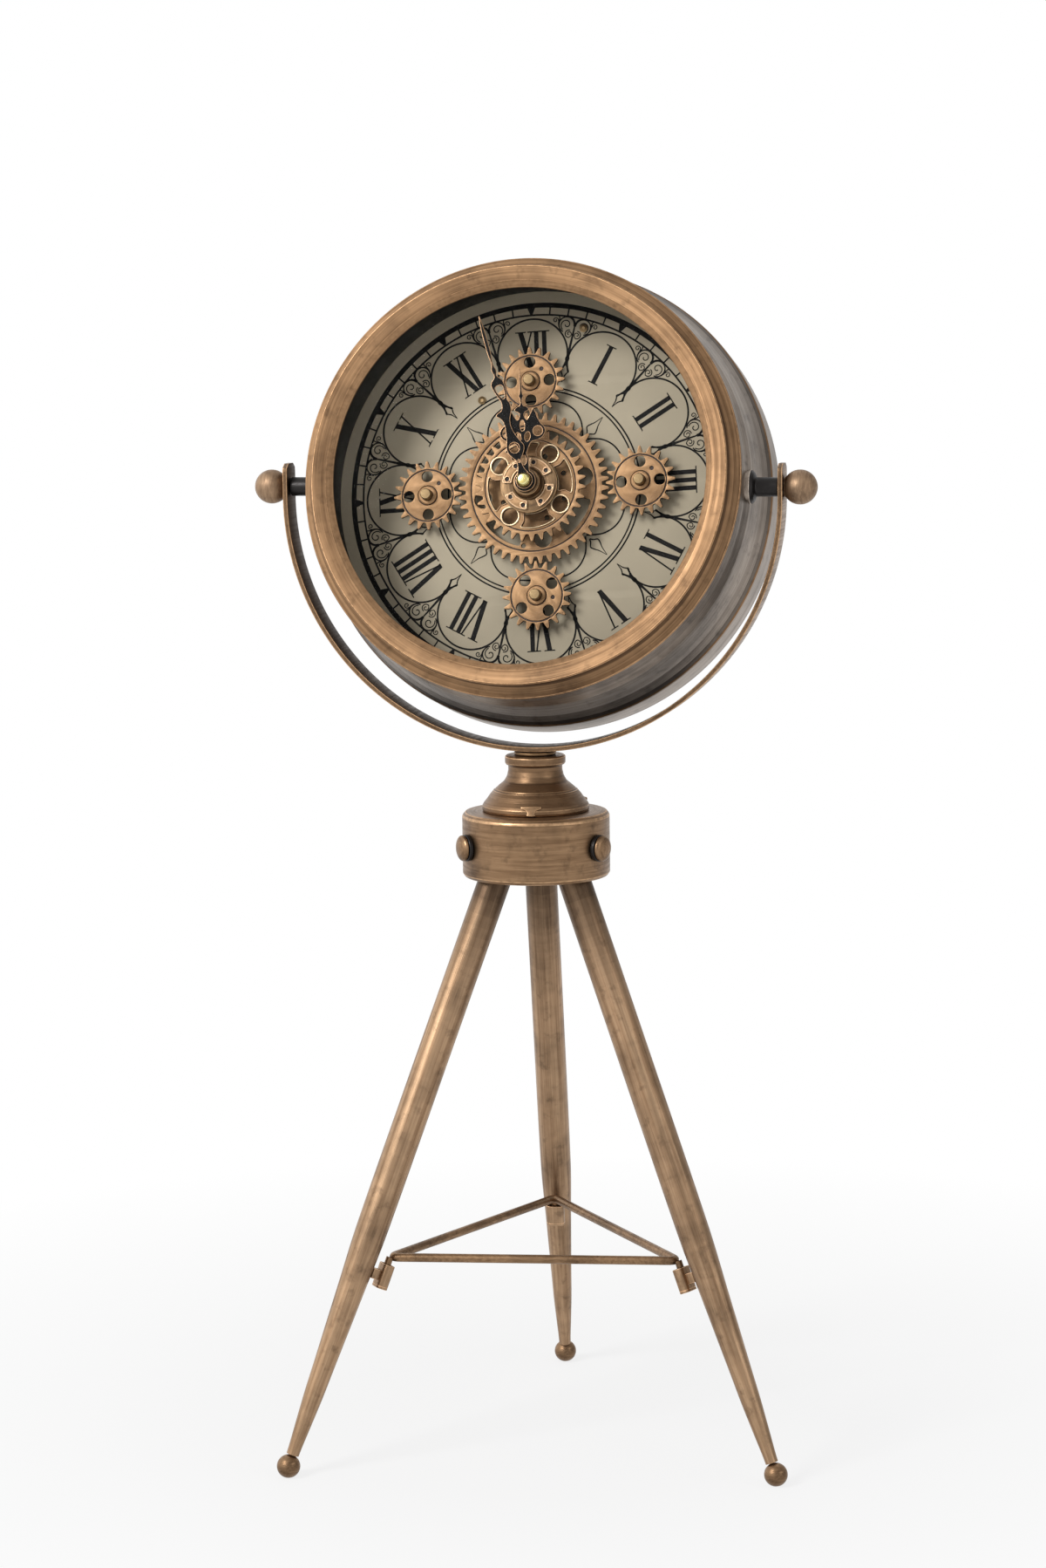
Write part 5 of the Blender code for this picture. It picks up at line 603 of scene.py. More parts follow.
def make_leg(side):
    """The tube, darker toward its top under the hub."""
    spots = smooth_line(LEG_STATIONS, cuts=4)
    profile = [(0, spots[0][0], 0.0)]
    for height, radius in spots:
        dark = max(0.0, (height - LEG_DARK_START) / (LEG_DARK_END - LEG_DARK_START))
        profile.append((radius, height, -min(dark, 1.0)))
    profile.append((0, spots[-1][0], 0.0))
    bm = new_mesh()
    lathe(bm, profile, SMALL_STEPS)
    piece("tapered_leg_" + side, bm, leg_frame(side), "stand", copper_long,
          ["leg_" + side])


def make_leg_bolt(side):
    spot = outward(LEG_AZIMUTHS[side], HUB_RADIUS + WASHER_LIFT, BOLT_HEIGHT)
    turned_piece("bolt_washer_" + side, WASHER_PROFILE, spot, "stand", black_steel,
                 ["leg_bolt_washer_" + side])
    dome = ball_profile(BOLT_RADIUS, BOLT_RIM, math.pi / 2, BOLT_ARC, BOLT_CROWN)
    head = [(0, 0), (BOLT_RADIUS - 0.4, 0, 0.2), (BOLT_RADIUS, BOLT_RIM / 2, 0.2), *dome,
            (0, BOLT_RIM + BOLT_CROWN)]
    spot = outward(LEG_AZIMUTHS[side], HUB_RADIUS + BOLT_LIFT, BOLT_HEIGHT)
    turned_piece("dome_bolt_" + side, head, spot, "stand", copper_stand,
                 ["leg_bolt_" + side])


def make_cup(side):
    """A small cup that a peg of the brace drops into, with the tab that joins it to the leg."""
    depth, width = CUP_HALF_DEPTH, CUP_HALF_WIDTH
    outer = rounded_box((-depth, -width), (depth, width), CUP_CORNER, 6)
    inner = [(x * (depth - CUP_WALL) / depth, y * (width - CUP_WALL) / width) for x, y, _ in outer]
    tab = rounded_box(*CUP_TAB)
    floor = CUP_LOW + CUP_FLOOR
    layers = [([outer], CUP_LOW, floor, CUP_BEVEL), ([outer, inner], floor, CUP_HIGH, CUP_BEVEL),
              ([tab], CUP_LOW + CUP_TAB_LOW, CUP_LOW + CUP_TAB_HIGH, CUP_TAB_BEVEL)]
    plate_piece("brace_socket_" + side, layers, cup_frame(side), "stand", copper_long,
                ["brace_cup_" + side])


def make_pedestal():
    profile = raised(PEDESTAL_PROFILE, PEDESTAL_BASE)
    turned_piece("bell_pedestal", profile, STAND, "stand", copper_cast, ["pedestal"],
                 FINE_STEPS, arcs=4)
    outline = smooth_line([(-x, y) for x, y in TAB_HALF[::-1]] + list(TAB_HALF), cuts=3)
    for number, azimuth in enumerate(TAB_AZIMUTHS, 1):
        spot = outward(azimuth, TAB_REACH, PEDESTAL_BASE) @ Matrix.Rotation(TAB_LEAN, 4, "X")
        plate_piece(f"pedestal_tab_{number}", [([outline], 0, TAB_THICKNESS, TAB_BEVEL)], spot, "stand",
                    copper_stand)


def make_brace():
    """A triangle of wire with a peg down from each corner."""
    corners, pegs = [], []
    for side in LEG_AZIMUTHS:
        spot = STAND.inverted() @ cup_frame(side)
        corners.append(spot @ at(0, 0, BRACE_HEIGHT) / MM)
        pegs.append(spot @ at(0, 0, BRACE_FOOT) / MM)
    path = []
    for i, corner in enumerate(corners):
        before, after = corners[i - 1], corners[(i + 1) % len(corners)]
        first = corner + (before - corner).normalized() * BRACE_BEND
        last = corner + (after - corner).normalized() * BRACE_BEND
        path += bend(first, corner, last, BRACE_BEND_STEPS)
    bm = new_mesh()
    tube(bm, path, BRACE_WIRE, WIRE_SIDES, looped=True)
    for corner, peg in zip(corners, pegs):
        tube(bm, [corner, corner.lerp(peg, 0.5), peg], BRACE_PEG, PEG_SIDES)
    piece("wire_brace", bm, STAND, "stand", copper_stand, ["brace"])


# Yoke, swivel and knobs; along the pivots, heights are distances from the middle of the head
YOKE_RADIUS, YOKE_THICKNESS, YOKE_WIDTH, YOKE_EDGE = 115.4, 2.2, 14.5, 0.4
YOKE_DROP, YOKE_RISE, ARM_CORNER = 4.8, 10.9, 3.5
ARM_STEPS, BOW_STEPS = 8, 120
# Darkening of the front edge of the strip, and painted shade on its inside face, turned to the head
YOKE_FRONT_DARKENING, YOKE_INSIDE_SHADE = -0.3, -1.0
DISC_PROFILE = ((0, 0), (9.6, 0, 0.3), (9.8, 0.4, 0.3), (9.8, 1.1, 0.3), (9.4, 1.4, 0.2), (0, 1.4))
BUSHING_PROFILE = ((0, 100.5), (7.4, 100.5), (7.7, 102.2, 0.3), (7.6, 102.9, 0.3), (6.6, 103.9, 0.8),
                   (4.7, 104.7, 0.5), (4.4, 105.2, 0.4), (4.4, 114.7, 0.3), (4, 115.05, 0.2), (0, 115.05))
PAD_PROFILE = ((0, 98), (7.9, 98), (7.8, 102.4, 0.3), (0, 102.45))
KNOB_BALL, KNOB_CENTRE, KNOB_NECK, KNOB_NECK_RADIUS = 7.95, 124.8, 117.9, 4.4


def make_yoke():
    """One strip: an arm, the bow and the other arm, with the arms' tops rounded at the corners."""
    rise, half = YOKE_RISE + YOKE_DROP, YOKE_WIDTH / 2
    arm = [rise * (1 - k / ARM_STEPS) for k in range(ARM_STEPS + 1)]
    spots = [(0.0, height) for height in arm]
    spots += [(-math.pi * k / BOW_STEPS, 0.0) for k in range(1, BOW_STEPS)]
    spots += [(-math.pi, height) for height in reversed(arm)]
    section = rounded_box((0, -half), (YOKE_THICKNESS, half), YOKE_EDGE)
    rub_and_shade = [w for _, _, w in section]
    # The front edge is darkened a little; the inside face gets painted shade.
    rub_and_shade[len(rub_and_shade) // 4 - 1], rub_and_shade[-1] = YOKE_FRONT_DARKENING, YOKE_INSIDE_SHADE
    sections = []
    for angle, height in spots:
        below_top = min(rise - height, ARM_CORNER)
        narrow = ARM_CORNER - math.sqrt(ARM_CORNER**2 - (ARM_CORNER - below_top) ** 2)
        scale = (half - narrow) / half
        made = []
        for t, w, _ in section:
            radius = YOKE_RADIUS + t
            up = radius * math.sin(angle) + height - YOKE_DROP
            made.append((radius * math.cos(angle), w * scale, up))
        sections.append(made)
    bm = new_mesh()
    loft(bm, sections, rub_and_shade)
    piece("yoke_bow", bm, YOKE, "yoke", copper_stand, ["yoke"])


def make_swivel():
    profile = raised(DISC_PROFILE, PEDESTAL_BASE + PEDESTAL_HEIGHT + SEAT_GAP)
    turned_piece("swivel_disc", profile, STAND, "yoke", cone_bronze, ["swivel_stud"])


def make_knob(side):
    arc = ball_profile(KNOB_BALL, KNOB_CENTRE, math.asin(KNOB_NECK_RADIUS / KNOB_BALL), KNOB_ARC)
    profile = [(0, KNOB_NECK), (4.5, KNOB_NECK, 0.2), (4.75, KNOB_NECK + 0.3, 0.2), *arc,
               (0, KNOB_CENTRE + KNOB_BALL)]
    name = "knob_" + side
    turned_piece("ball_" + name, profile, side_frame(side), name, copper_knob, [name])


# Head
# The -0.6 at 28.6 darkens the groove between the front ring and the second ring as painted shade.
BEZEL_PROFILE = ((86.6, 30.4, 0.35, 0.3), (89.7, 32.3, 0.8), (96, 33.25, 0.4), (96.6, 32.7, 0.5),
                 (96.2, 30.9, 0.6), (95.9, 28.6, 1.2, -0.6), (96.6, 26.8, 1.2), (98.6, 25.3, 1.2),
                 (101.4, 24.3, 0.5), (101.8, 23.6, 0.5), (101.2, 22.5, 0.4), (101, 21.9, 0.15),
                 (96.8, 21.9), (96.8, 16.2), (95.6, 16.2), (95.6, 23), (94.3, 23), (94.3, 28.7),
                 (86.8, 28.8, 0.3))
# The marks -0.25 and -0.8 darken the flare toward the back of the case as painted shade.
CASE_PROFILE = ((98.6, 21.6, 0.2), (98.9, 15, 3), (100.5, 6, 6), (102.3, 0, 6), (103.4, -8, 6),
                (104.7, -16, 6, -0.25), (106.6, -22, 3, -0.8), (107.7, -24.3, 0.3), (108.3, -25.3, 0.4),
                (108.5, -27, 1), (108.5, -44.8, 0.6), (107.6, -46.1, 0.5), (105.2, -46.1, 0.3),
                (105, -41.6), (98, -41.6, 0.3), (98, -38), (102.2, -34), (102.2, -27), (93, -18.2),
                (93, -11.5), (95.6, -11.5), (95.6, 14.9), (97.1, 15.9), (97.1, 21.6))
# The copper line round the case and the band behind it: where each starts, and the least radius of both
LINE_START, BAND_START, BAND_INSIDE = -24.2, -25.9, 104
WALL_PROFILE = ((94, -9.7), (94.9, -9.7), (94.9, 15.2), (95.3, 15.4), (95.3, 22.6), (94.4, 22.6),
                (94, 21))
GLASS_PROFILE = ((0, 26.5), (94, 26.5, 0.2), (94, 28.5, 0.2), (0, 28.5))


def make_case():
    item = turned_piece("case_drum", CASE_PROFILE, HEAD, "head", bronze_case,
                        ["case_shell"], FINE_STEPS, True)
    item.data.materials.append(band_bronze)
    item.data.materials.append(copper_round)
    for face in item.data.polygons:
        height, radius = face.center.z / MM, face.center.xy.length / MM
        if height < LINE_START and radius > BAND_INSIDE:
            face.material_index = 1 if height < BAND_START else 2
    for side in SIDES:
        turned_piece("pivot_pad_" + side, PAD_PROFILE, side_frame(side), "head", bronze_case)


# Dial and its print
DIAL_RADIUS, DIAL_THICKNESS, DIAL_BORE, DIAL_BEVEL = 95.2, 1.2, 4.4, 0.05
GEAR_CIRCLE, GEAR_HOLE = 50.3, 2.3
PRINT = (0, 0.06)
PRINTED_RINGS = ((86.4, 88.75), (82.55, 83.4), (48.6, 49.35), (46.9, 47.6))
HOURS, MINUTES = 12, 60
MARK_LOW, MARK_HIGH, MARK_WIDTH = 83.2, 86.6, 0.7
HOUR_MARK = ((-0.55, MARK_LOW), (-1.9, MARK_HIGH), (1.9, MARK_HIGH), (0.55, MARK_LOW))
PETAL_CENTRE, PETAL_RADIUS, PETAL_LINE, PETAL_OPENING, PETAL_PINCH = (0, 64.5), 16.6, 0.85, 0.315, 0.0009
LOBE_HALF = ((22.4, 22.8), (22.5, 27), (21.9, 31.5), (19.4, 36.2), (15.2, 39.6), (9.5, 41.4), (0, 42))
LOBE_LINE, PETAL_STEPS = 0.75, 60
STAR_LINE = ((0.05, 34.4), (0.9, 35.9), (2.5, 37.4), (2, 39.4), (1, 41.6), (0.05, 45.6))
STAR_WIDTHS = [0.6] * 14 + [0.5, 0.5, 0.45, 0.4, 0.35, 0.3, 0.25]
NUMERALS = ("XII", "I", "II", "III", "IV", "V", "VI", "VII", "VIII", "IX", "X", "XI")
NUMERAL_LOW, NUMERAL_HIGH = 56.2, 75.1
# The width, the advance to the next letter, the bars as (place at the top, place at the foot, width), and
# the serifs as (place, height, half length)
LETTERS = {
    "I": (2.4, 3.75, ((1.2, 1.2, 2.1),), ((1.2, NUMERAL_LOW, 2.35), (1.2, NUMERAL_HIGH, 2.35))),
    "V": (8.4, 8.0, ((1.2, 4.4, 2.3), (7.3, 4.7, 0.75)),
          ((1.2, NUMERAL_HIGH, 2.3), (7.3, NUMERAL_HIGH, 1.7))),
    "X": (8.0, 7.7, ((1.4, 6.6, 2.4), (6.6, 1.4, 0.75)),
          ((1.4, NUMERAL_HIGH, 2.3), (6.6, NUMERAL_LOW, 2.3), (6.6, NUMERAL_HIGH, 1.6),
           (1.4, NUMERAL_LOW, 1.6))),
}
SERIF_HALF, BEAK_HALF, BEAK_ROOT, BEAK_TIP, BEAK_LEAN = 0.275, 0.25, 0.2, 0.525, 0.2
# The stem between two petals: (heights, widths) of its strokes
STEM = (((79.5, 77, 73, 69, 66), (0.6, 0.8, 0.95, 1.1, 1.5)), ((66.6, 65, 64), (2.1, 1.5, 1.3)),
        ((64.6, 64, 63.2, 62.4, 61.8), (1, 1.9, 2.1, 1.8, 0.8)), ((62, 61, 60), (0.9, 0.7, 0.9)))
# On each side of the stem: (points, cuts, widths) of its curves
CURVES = ((((0.1, 60.4), (0.9, 59.2), (2.05, 57.5)), 3, 0.6),
          (((2.05, 57.6), (1.1, 56.2), (0.5, 54.9), (0.05, 52)), 4,
           [0.6] * 8 + [0.5, 0.45, 0.4, 0.3, 0.25]),
          (((0, 79.2), (0.6, 81.2), (2.2, 82.5), (4.4, 83)), 4, 0.6),
          (((7.4, 77.3), (7.9, 79), (7.8, 81), (8.3, 82.4)), 4, 0.55))
BIG_SCROLL, LOW_SCROLL, OUTER_SCROLL = (4, 78.95), (1.95, 74.9), (9.6, 80)
# Arcs and spirals of the scrolls are (centre, outer radius, inner radius, start, turns, steps, width)
SCROLLS = ((BIG_SCROLL, 3.65, 3.65, math.pi * 1.02, -0.72, 30, 0.62),
           (BIG_SCROLL, 3, 0.55, -math.pi * 0.35, 1.15, 36, 0.5),
           (LOW_SCROLL, 1.75, 1.75, math.pi * 0.55, -0.575, 18, 0.5),
           (LOW_SCROLL, 1.55, 0.4, -math.pi * 0.6, -0.95, 24, 0.45),
           (OUTER_SCROLL, 1.5, 0.35, math.pi * 1.05, -1.25, 26, 0.45))
SPIRAL_TIGHTENING = 0.8
SCREW_PLACES = {"left": (-24.7, 44.4), "right": (24.6, 74.8)}
SCREW_PROFILE = ((0, 0.3), (1.9, 0.3, 0.15), (1.9, 0.8, 0.4), (0.9, 1.25), (0.8, 0.85), (0, 0.85))
SCREW_STEPS = 32


def make_dial():
    holes = [circle(GEAR_HOLE, polar(GEAR_CIRCLE, angle), TINY_STEPS) for angle in QUARTERS]
    outlines = [circle(DIAL_RADIUS, steps=FINE_STEPS), circle(DIAL_BORE), *holes]
    plate_piece("dial_plate", [(outlines, -DIAL_THICKNESS, 0, DIAL_BEVEL)], DIAL, "head", dial_face,
                ["dial"])


def on_dial(points, angle, mirror=False):
    """Places for points given beside the twelve o'clock ray, turned clockwise by the angle."""
    sign = -1 if mirror else 1
    c, s = math.cos(angle), math.sin(angle)
    return [(sign * x * c + y * s, -sign * x * s + y * c) for x, y in points]


def ink(bm, points, widths, angle, mirror=False):
    """A pen line along the points; the widths are one number, or one for each point."""
    points = on_dial(points, angle, mirror)
    count = len(points)
    low, high = PRINT
    if not hasattr(widths, "__len__"):
        widths = [widths] * count
    sections = []
    for i, (x, y) in enumerate(points):
        x0, y0 = points[max(i - 1, 0)]
        x1, y1 = points[min(i + 1, count - 1)]
        share = widths[i] / 2 / (math.hypot(x1 - x0, y1 - y0) or 1.0)
        left = (x - (y1 - y0) * share, y + (x1 - x0) * share)
        right = (x + (y1 - y0) * share, y - (x1 - x0) * share)
        sections.append([(*left, low), (*right, low), (*right, high), (*left, high)])
    loft(bm, sections)


def ink_shape(bm, points, angle):
    outline = on_dial(points, angle)
    loft(bm, [[(x, y, z) for x, y in outline] for z in PRINT])


def spiral(centre, outer, inner, start, turns, steps):
    """Points from the outer to the inner radius, angles anticlockwise from +x; equal radii make an arc."""
    made = []
    for k in range(steps + 1):
        share = k / steps
        a = start + FULL_TURN * turns * share
        radius = outer + (inner - outer) * share**SPIRAL_TIGHTENING
        made.append((centre[0] + radius * math.cos(a), centre[1] + radius * math.sin(a)))
    return made


def serif(bm, x, y, half, angle):
    """A thin bar across the end of a letter's stroke, with a beak at each tip."""
    low, high = y - SERIF_HALF, y + SERIF_HALF
    ink_shape(bm, [(x - half, low), (x + half, low), (x + half, high), (x - half, high)], angle)
    beak_end = y + (BEAK_TIP if y == NUMERAL_HIGH else -BEAK_TIP)
    for sign in (-1, 1):
        tip = x + half * sign
        root = y - BEAK_ROOT
        ink_shape(bm, [(tip - BEAK_HALF, root), (tip + BEAK_HALF, root),
                       (tip + BEAK_LEAN * sign, beak_end)], angle)


def numeral(bm, text, angle):
    """Roman letters side by side, drawn between the numeral circles."""
    letters = [LETTERS[name] for name in text]
    left = -(sum(advance for _, advance, _, _ in letters[:-1]) + letters[-1][0]) / 2
    for _, advance, bars, serifs in letters:
        for top, foot, width in bars:
            ends = ((top, NUMERAL_HIGH, -1), (foot, NUMERAL_LOW, -1), (foot, NUMERAL_LOW, 1),
                    (top, NUMERAL_HIGH, 1))
            ink_shape(bm, [(left + x + side * width / 2, y) for x, y, side in ends], angle)
        for x, y, half in serifs:
            serif(bm, left + x, y, half, angle)
        left += advance


def ornament(bm, angle):
    """The scrollwork between two petals: a stem with a knot and a finial below, and scrolls on each side."""
    for heights, widths in STEM:
        ink(bm, [(0, y) for y in heights], widths, angle)
    for mirror in (False, True):
        for points, cuts, widths in CURVES:
            ink(bm, smooth_line(points, cuts=cuts), widths, angle, mirror)
        for *turns, width in SCROLLS:
            ink(bm, spiral(*turns), width, angle, mirror)


def make_print():
    bm = new_mesh()
    low, high = PRINT
    for inner, outer in PRINTED_RINGS:
        lathe(bm, rounded([(outer, low), (outer, high), (inner, high), (inner, low)]), FINE_STEPS, True)
    for k in range(MINUTES):
        angle = FULL_TURN * k / MINUTES
        if k % (MINUTES // HOURS):
            ink(bm, [(0, MARK_LOW), (0, MARK_HIGH)], MARK_WIDTH, angle)
        else:
            ink_shape(bm, HOUR_MARK, angle)
    middle = PETAL_CENTRE[1]
    start, turns = math.pi * (PETAL_OPENING - 0.5), 1 - PETAL_OPENING
    arc = spiral(PETAL_CENTRE, PETAL_RADIUS, PETAL_RADIUS, start, turns, PETAL_STEPS)
    petal = [(x * (1 - PETAL_PINCH * max(middle - y, 0) ** 2), y) for x, y in arc]
    for k in range(HOURS):
        angle = FULL_TURN * k / HOURS
        ink(bm, petal, PETAL_LINE, angle)
        numeral(bm, NUMERALS[k], angle)
        ornament(bm, angle + FULL_TURN / HOURS / 2)
    lobe = smooth_line(list(LOBE_HALF) + [(-x, y) for x, y in LOBE_HALF[-2::-1]])
    star = smooth_line(STAR_LINE, cuts=4)
    for angle in QUARTERS:
        ink(bm, lobe, LOBE_LINE, angle)
        for mirror in (False, True):
            ink(bm, star, STAR_WIDTHS, angle + FULL_TURN / 8, mirror)
    piece("dial_print", bm, DIAL, "head", dial_ink)


# Gears: a dark web lies under a toothed rim and a disc, with a groove between them
GEAR_THICKNESS, RELIEF, WEB_BEVEL, FACE_BEVEL = 1.8, 0.45, 0.1, 0.18
ROOT_CORNER, TIP_CORNER = 0.5, 0.55
GEAR_FACE, UPPER_FACE = 7, 14
MAIN_TEETH, MAIN_TIP, MAIN_ROOT, MAIN_TIP_SHARE = 48, 35.6, 32.2, 0.22
UPPER_TEETH, UPPER_TIP, UPPER_ROOT = 34, 26.1, 22.9
SMALL_TEETH, SMALL_TIP, SMALL_ROOT = 20, 16.2, 12.9
MAIN_GROOVE, UPPER_GROOVE, SMALL_GROOVE = (29.15, 29.85), (21, 21.6), (11.7, 12.45)
MAIN_WINDOW, MAIN_WINDOW_AT, MAIN_WINDOW_HALF = (20.4, 27.8), 36 * DEGREE, 21 * DEGREE
MAIN_HOLE, MAIN_HOLE_CIRCLE, MAIN_HOLE_AT = 4.2, 24.2, 81 * DEGREE
MAIN_BORE, MAIN_DOT, MAIN_DOT_PLACE = 7, 1.1, (27.3, 191.5 * DEGREE)
MAIN_PERFORATION, PERFORATION_CIRCLE, PERFORATIONS = 1.2, 15.5, 8
# Openings are (inner, outer radius), and their ends (half angle, rounding, bulge)
UPPER_WINDOW, UPPER_WINDOW_ENDS = (13.6, 19.8), (24.5 * DEGREE, 1.5, 3.4 * DEGREE)
UPPER_RIM, UPPER_RIM_ENDS = (13.3, 20.2), (25.6 * DEGREE, 1.7, 3.6 * DEGREE)
UPPER_WINDOW_AT, UPPER_RIM_HEIGHT, UPPER_BORE = 80 * DEGREE, 0.7, 7.4
UPPER_HOLE, UPPER_HOLE_RIM, UPPER_HOLE_CIRCLE, UPPER_HOLE_AT = 3.8, 4.5, 17, 35 * DEGREE
SMALL_GEAR_TURNS = {"top": 0, "right": 0, "bottom": 54 * DEGREE, "left": 0}
SMALL_HOLE, SMALL_HOLE_CIRCLE, SMALL_BORE, SMALL_LIFT = 2.7, 9, 4.75, 0.05
DIMPLE, DIMPLE_PLACE = 1, (7.7, 45 * DEGREE)
BOSS_PROFILE = ((2.7, 0, 0.1), (4.3, 0, 0.1), (4.3, 0.75, 0.35), (3.7, 1, 0.2), (2.75, 1, 0.1))
PIN_PROFILE = ((0, 0.4), (2.5, 0.4), (2.5, 11.6, 0.3), (2.1, 12, 0.3), (0, 12))
PLATE_LOW, PLATE_TOP, PLATE_RADIUS, PLATE_BORE, PLATE_BEVEL = 15.8, 17.2, 13.4, 7, 0.3
SLEEVE_PROFILE = ((PLATE_BORE, 12.2), (8, 12.2), (8, PLATE_LOW), (PLATE_BORE, PLATE_LOW))
PAD_ANGLES = [36 * DEGREE + angle for angle in QUARTERS]
PAD, PAD_ENDS, PAD_BEVEL = (7.9, 12.2), (31 * DEGREE, 1.6), 0.25
PAD_INSIDE, PAD_INSIDE_ENDS, PAD_RIM_BEVEL = (8.4, 11.7), (28 * DEGREE, 1.3), 0.1
PAD_LOW, PAD_HIGH, PAD_RIM_TOP = PLATE_TOP - 0.2, PLATE_TOP + 0.8, PLATE_TOP + 1.15
PAD_SCREW_CIRCLE, PAD_SCREW_SPLIT, PAD_SCREW_HOLE, PAD_SCREW_STEPS = 10.2, 20.7 * DEGREE, 1.1, 20
SCREW_RIM, SCREW_RIM_HEIGHT, SCREW_RIM_BEVEL = 1.5, 0.3, 0.05
PAD_SCREW_PROFILE = ((0, 0), (0.95, 0), (0.95, 0.3, 0.1), (0, 0.35))
CONE_PROFILE = ((3.4, 17.5), (7.3, 17.5, 0.2), (7.3, 18.3, 0.3), (6.9, 18.6, 0.2), (6.2, 21.6, 0.3),
                (6.2, 22.2, 0.3), (5, 22.4, 0.3), (4.8, 23.8, 0.2), (4.3, 24.4, 0.2), (3.5, 24.5, 0.1))
COLLAR_PROFILE = ((0, 24.8), (3, 24.8), (3, 26.4, 0.2), (0, 26.4))
CAP_PROFILE = ((0, 27), (3.3, 27, 0.25), (3.3, 28.4, 0.4), (3, 29.3, 0.6), (2.2, 30, 0.8), (0, 30.3))


def gear_outline(teeth, tip, root, root_share=0.66, tip_share=0.17, turn=0.0):
    """Teeth that narrow from the root to the tip; the shares are of the pitch."""
    pitch = FULL_TURN / teeth
    flanks = ((-root_share, root, ROOT_CORNER), (-tip_share, tip, TIP_CORNER),
              (tip_share, tip, TIP_CORNER), (root_share, root, ROOT_CORNER))
    corners = []
    for k in range(teeth):
        for share, radius, corner in flanks:
            corners.append((*polar(radius, turn + pitch * (k + share / 2)), corner))
    return rounded(corners)


def window_outline(radii, centre, half, corner=1.6, bulge=0.0, steps=8):
    """A curved slot; each end can bulge inward by an angle, round a boss."""
    inner, outer = radii
    corners = []
    for radius, sign in ((outer, 1), (inner, -1)):
        for k in range(steps + 1):
            angle = centre + sign * half * (2 * k / steps - 1)
            corners.append((*polar(radius, angle), corner if k in (0, steps) else 0.0))
        if bulge:
            corners.append((*polar((inner + outer) / 2, centre + sign * (half - bulge)), 2.0))
    return rounded(corners, True, 4)


def levels(face):
    return face - GEAR_THICKNESS, face - RELIEF, face


def cluster_piece(name, bm, finish, nodes=()):
    piece(name, bm, DIAL, "gear_cluster", finish, nodes)


def make_wheel(name, outline, groove, openings, face):
    low, step, high = levels(face)
    inside, outside = (circle(radius, steps=ROUND_STEPS) for radius in groove)
    web = [([outline, *openings], low, step, WEB_BEVEL)]
    faces = [([outline, outside], step, high, FACE_BEVEL), ([inside, *openings], step, high, FACE_BEVEL)]
    plate_piece(name + "_web", web, DIAL, "gear_cluster", gear_groove)
    plate_piece(name + "_face", faces, DIAL, "gear_cluster", gear_paint, [name])


def make_small_gear(name):
    """A wheel with a dimple, on a boss with a brass pin."""
    low, step, high = levels(GEAR_FACE)
    body = "gear_" + name
    spot = DIAL.copy()
    spot.translation = joint_place(body + "_spin")
    turned = Matrix.Rotation(-SMALL_GEAR_TURNS[name], 4, "Z")
    outline = gear_outline(SMALL_TEETH, SMALL_TIP, SMALL_ROOT)
    inside, outside = (circle(radius) for radius in SMALL_GROOVE)
    holes = [circle(SMALL_HOLE, polar(SMALL_HOLE_CIRCLE, angle), HOLE_STEPS) for angle in QUARTERS]
    dimple = circle(DIMPLE, polar(*DIMPLE_PLACE), TINY_STEPS)
    web = [([outline, *holes, circle(SMALL_HOLE, steps=HOLE_STEPS)], low, step, WEB_BEVEL)]
    plate_piece("small_gear_web_" + name, web, spot, body, gear_groove, turned=turned)
    disc = [inside, *holes, dimple, circle(SMALL_BORE, steps=HOLE_STEPS)]
    faces = [([outline, outside], step, high, FACE_BEVEL), (disc, step, high + SMALL_LIFT, FACE_BEVEL)]
    plate_piece("small_gear_" + name, faces, spot, body, gear_paint, [body], turned)
    turned_piece("small_gear_boss_" + name, raised(BOSS_PROFILE, high), spot, body, gear_paint,
                 closed=True)
    owner, node = (body, "motor_shaft") if name == "top" else ("head", "gear_post_" + name)
    turned_piece("brass_pin_" + name, PIN_PROFILE, spot, owner, pin_brass, [node])


def make_main_gear():
    """The large wheel; its teeth are turned half a pitch, to mesh with the small gears."""
    outline = gear_outline(MAIN_TEETH, MAIN_TIP, MAIN_ROOT, tip_share=MAIN_TIP_SHARE,
                           turn=math.pi / MAIN_TEETH)
    windows, holes = [], []
    for angle in QUARTERS:
        windows.append(window_outline(MAIN_WINDOW, MAIN_WINDOW_AT + angle, MAIN_WINDOW_HALF))
        holes.append(circle(MAIN_HOLE, polar(MAIN_HOLE_CIRCLE, MAIN_HOLE_AT + angle), HOLE_STEPS))
    dots = [circle(MAIN_DOT, polar(*MAIN_DOT_PLACE), TINY_STEPS)]
    for k in range(PERFORATIONS):
        place = polar(PERFORATION_CIRCLE, FULL_TURN * (k + 0.5) / PERFORATIONS)
        dots.append(circle(MAIN_PERFORATION, place, TINY_STEPS))
    make_wheel("main_gear", outline, MAIN_GROOVE, [*windows, *holes, *dots, circle(MAIN_BORE)], GEAR_FACE)


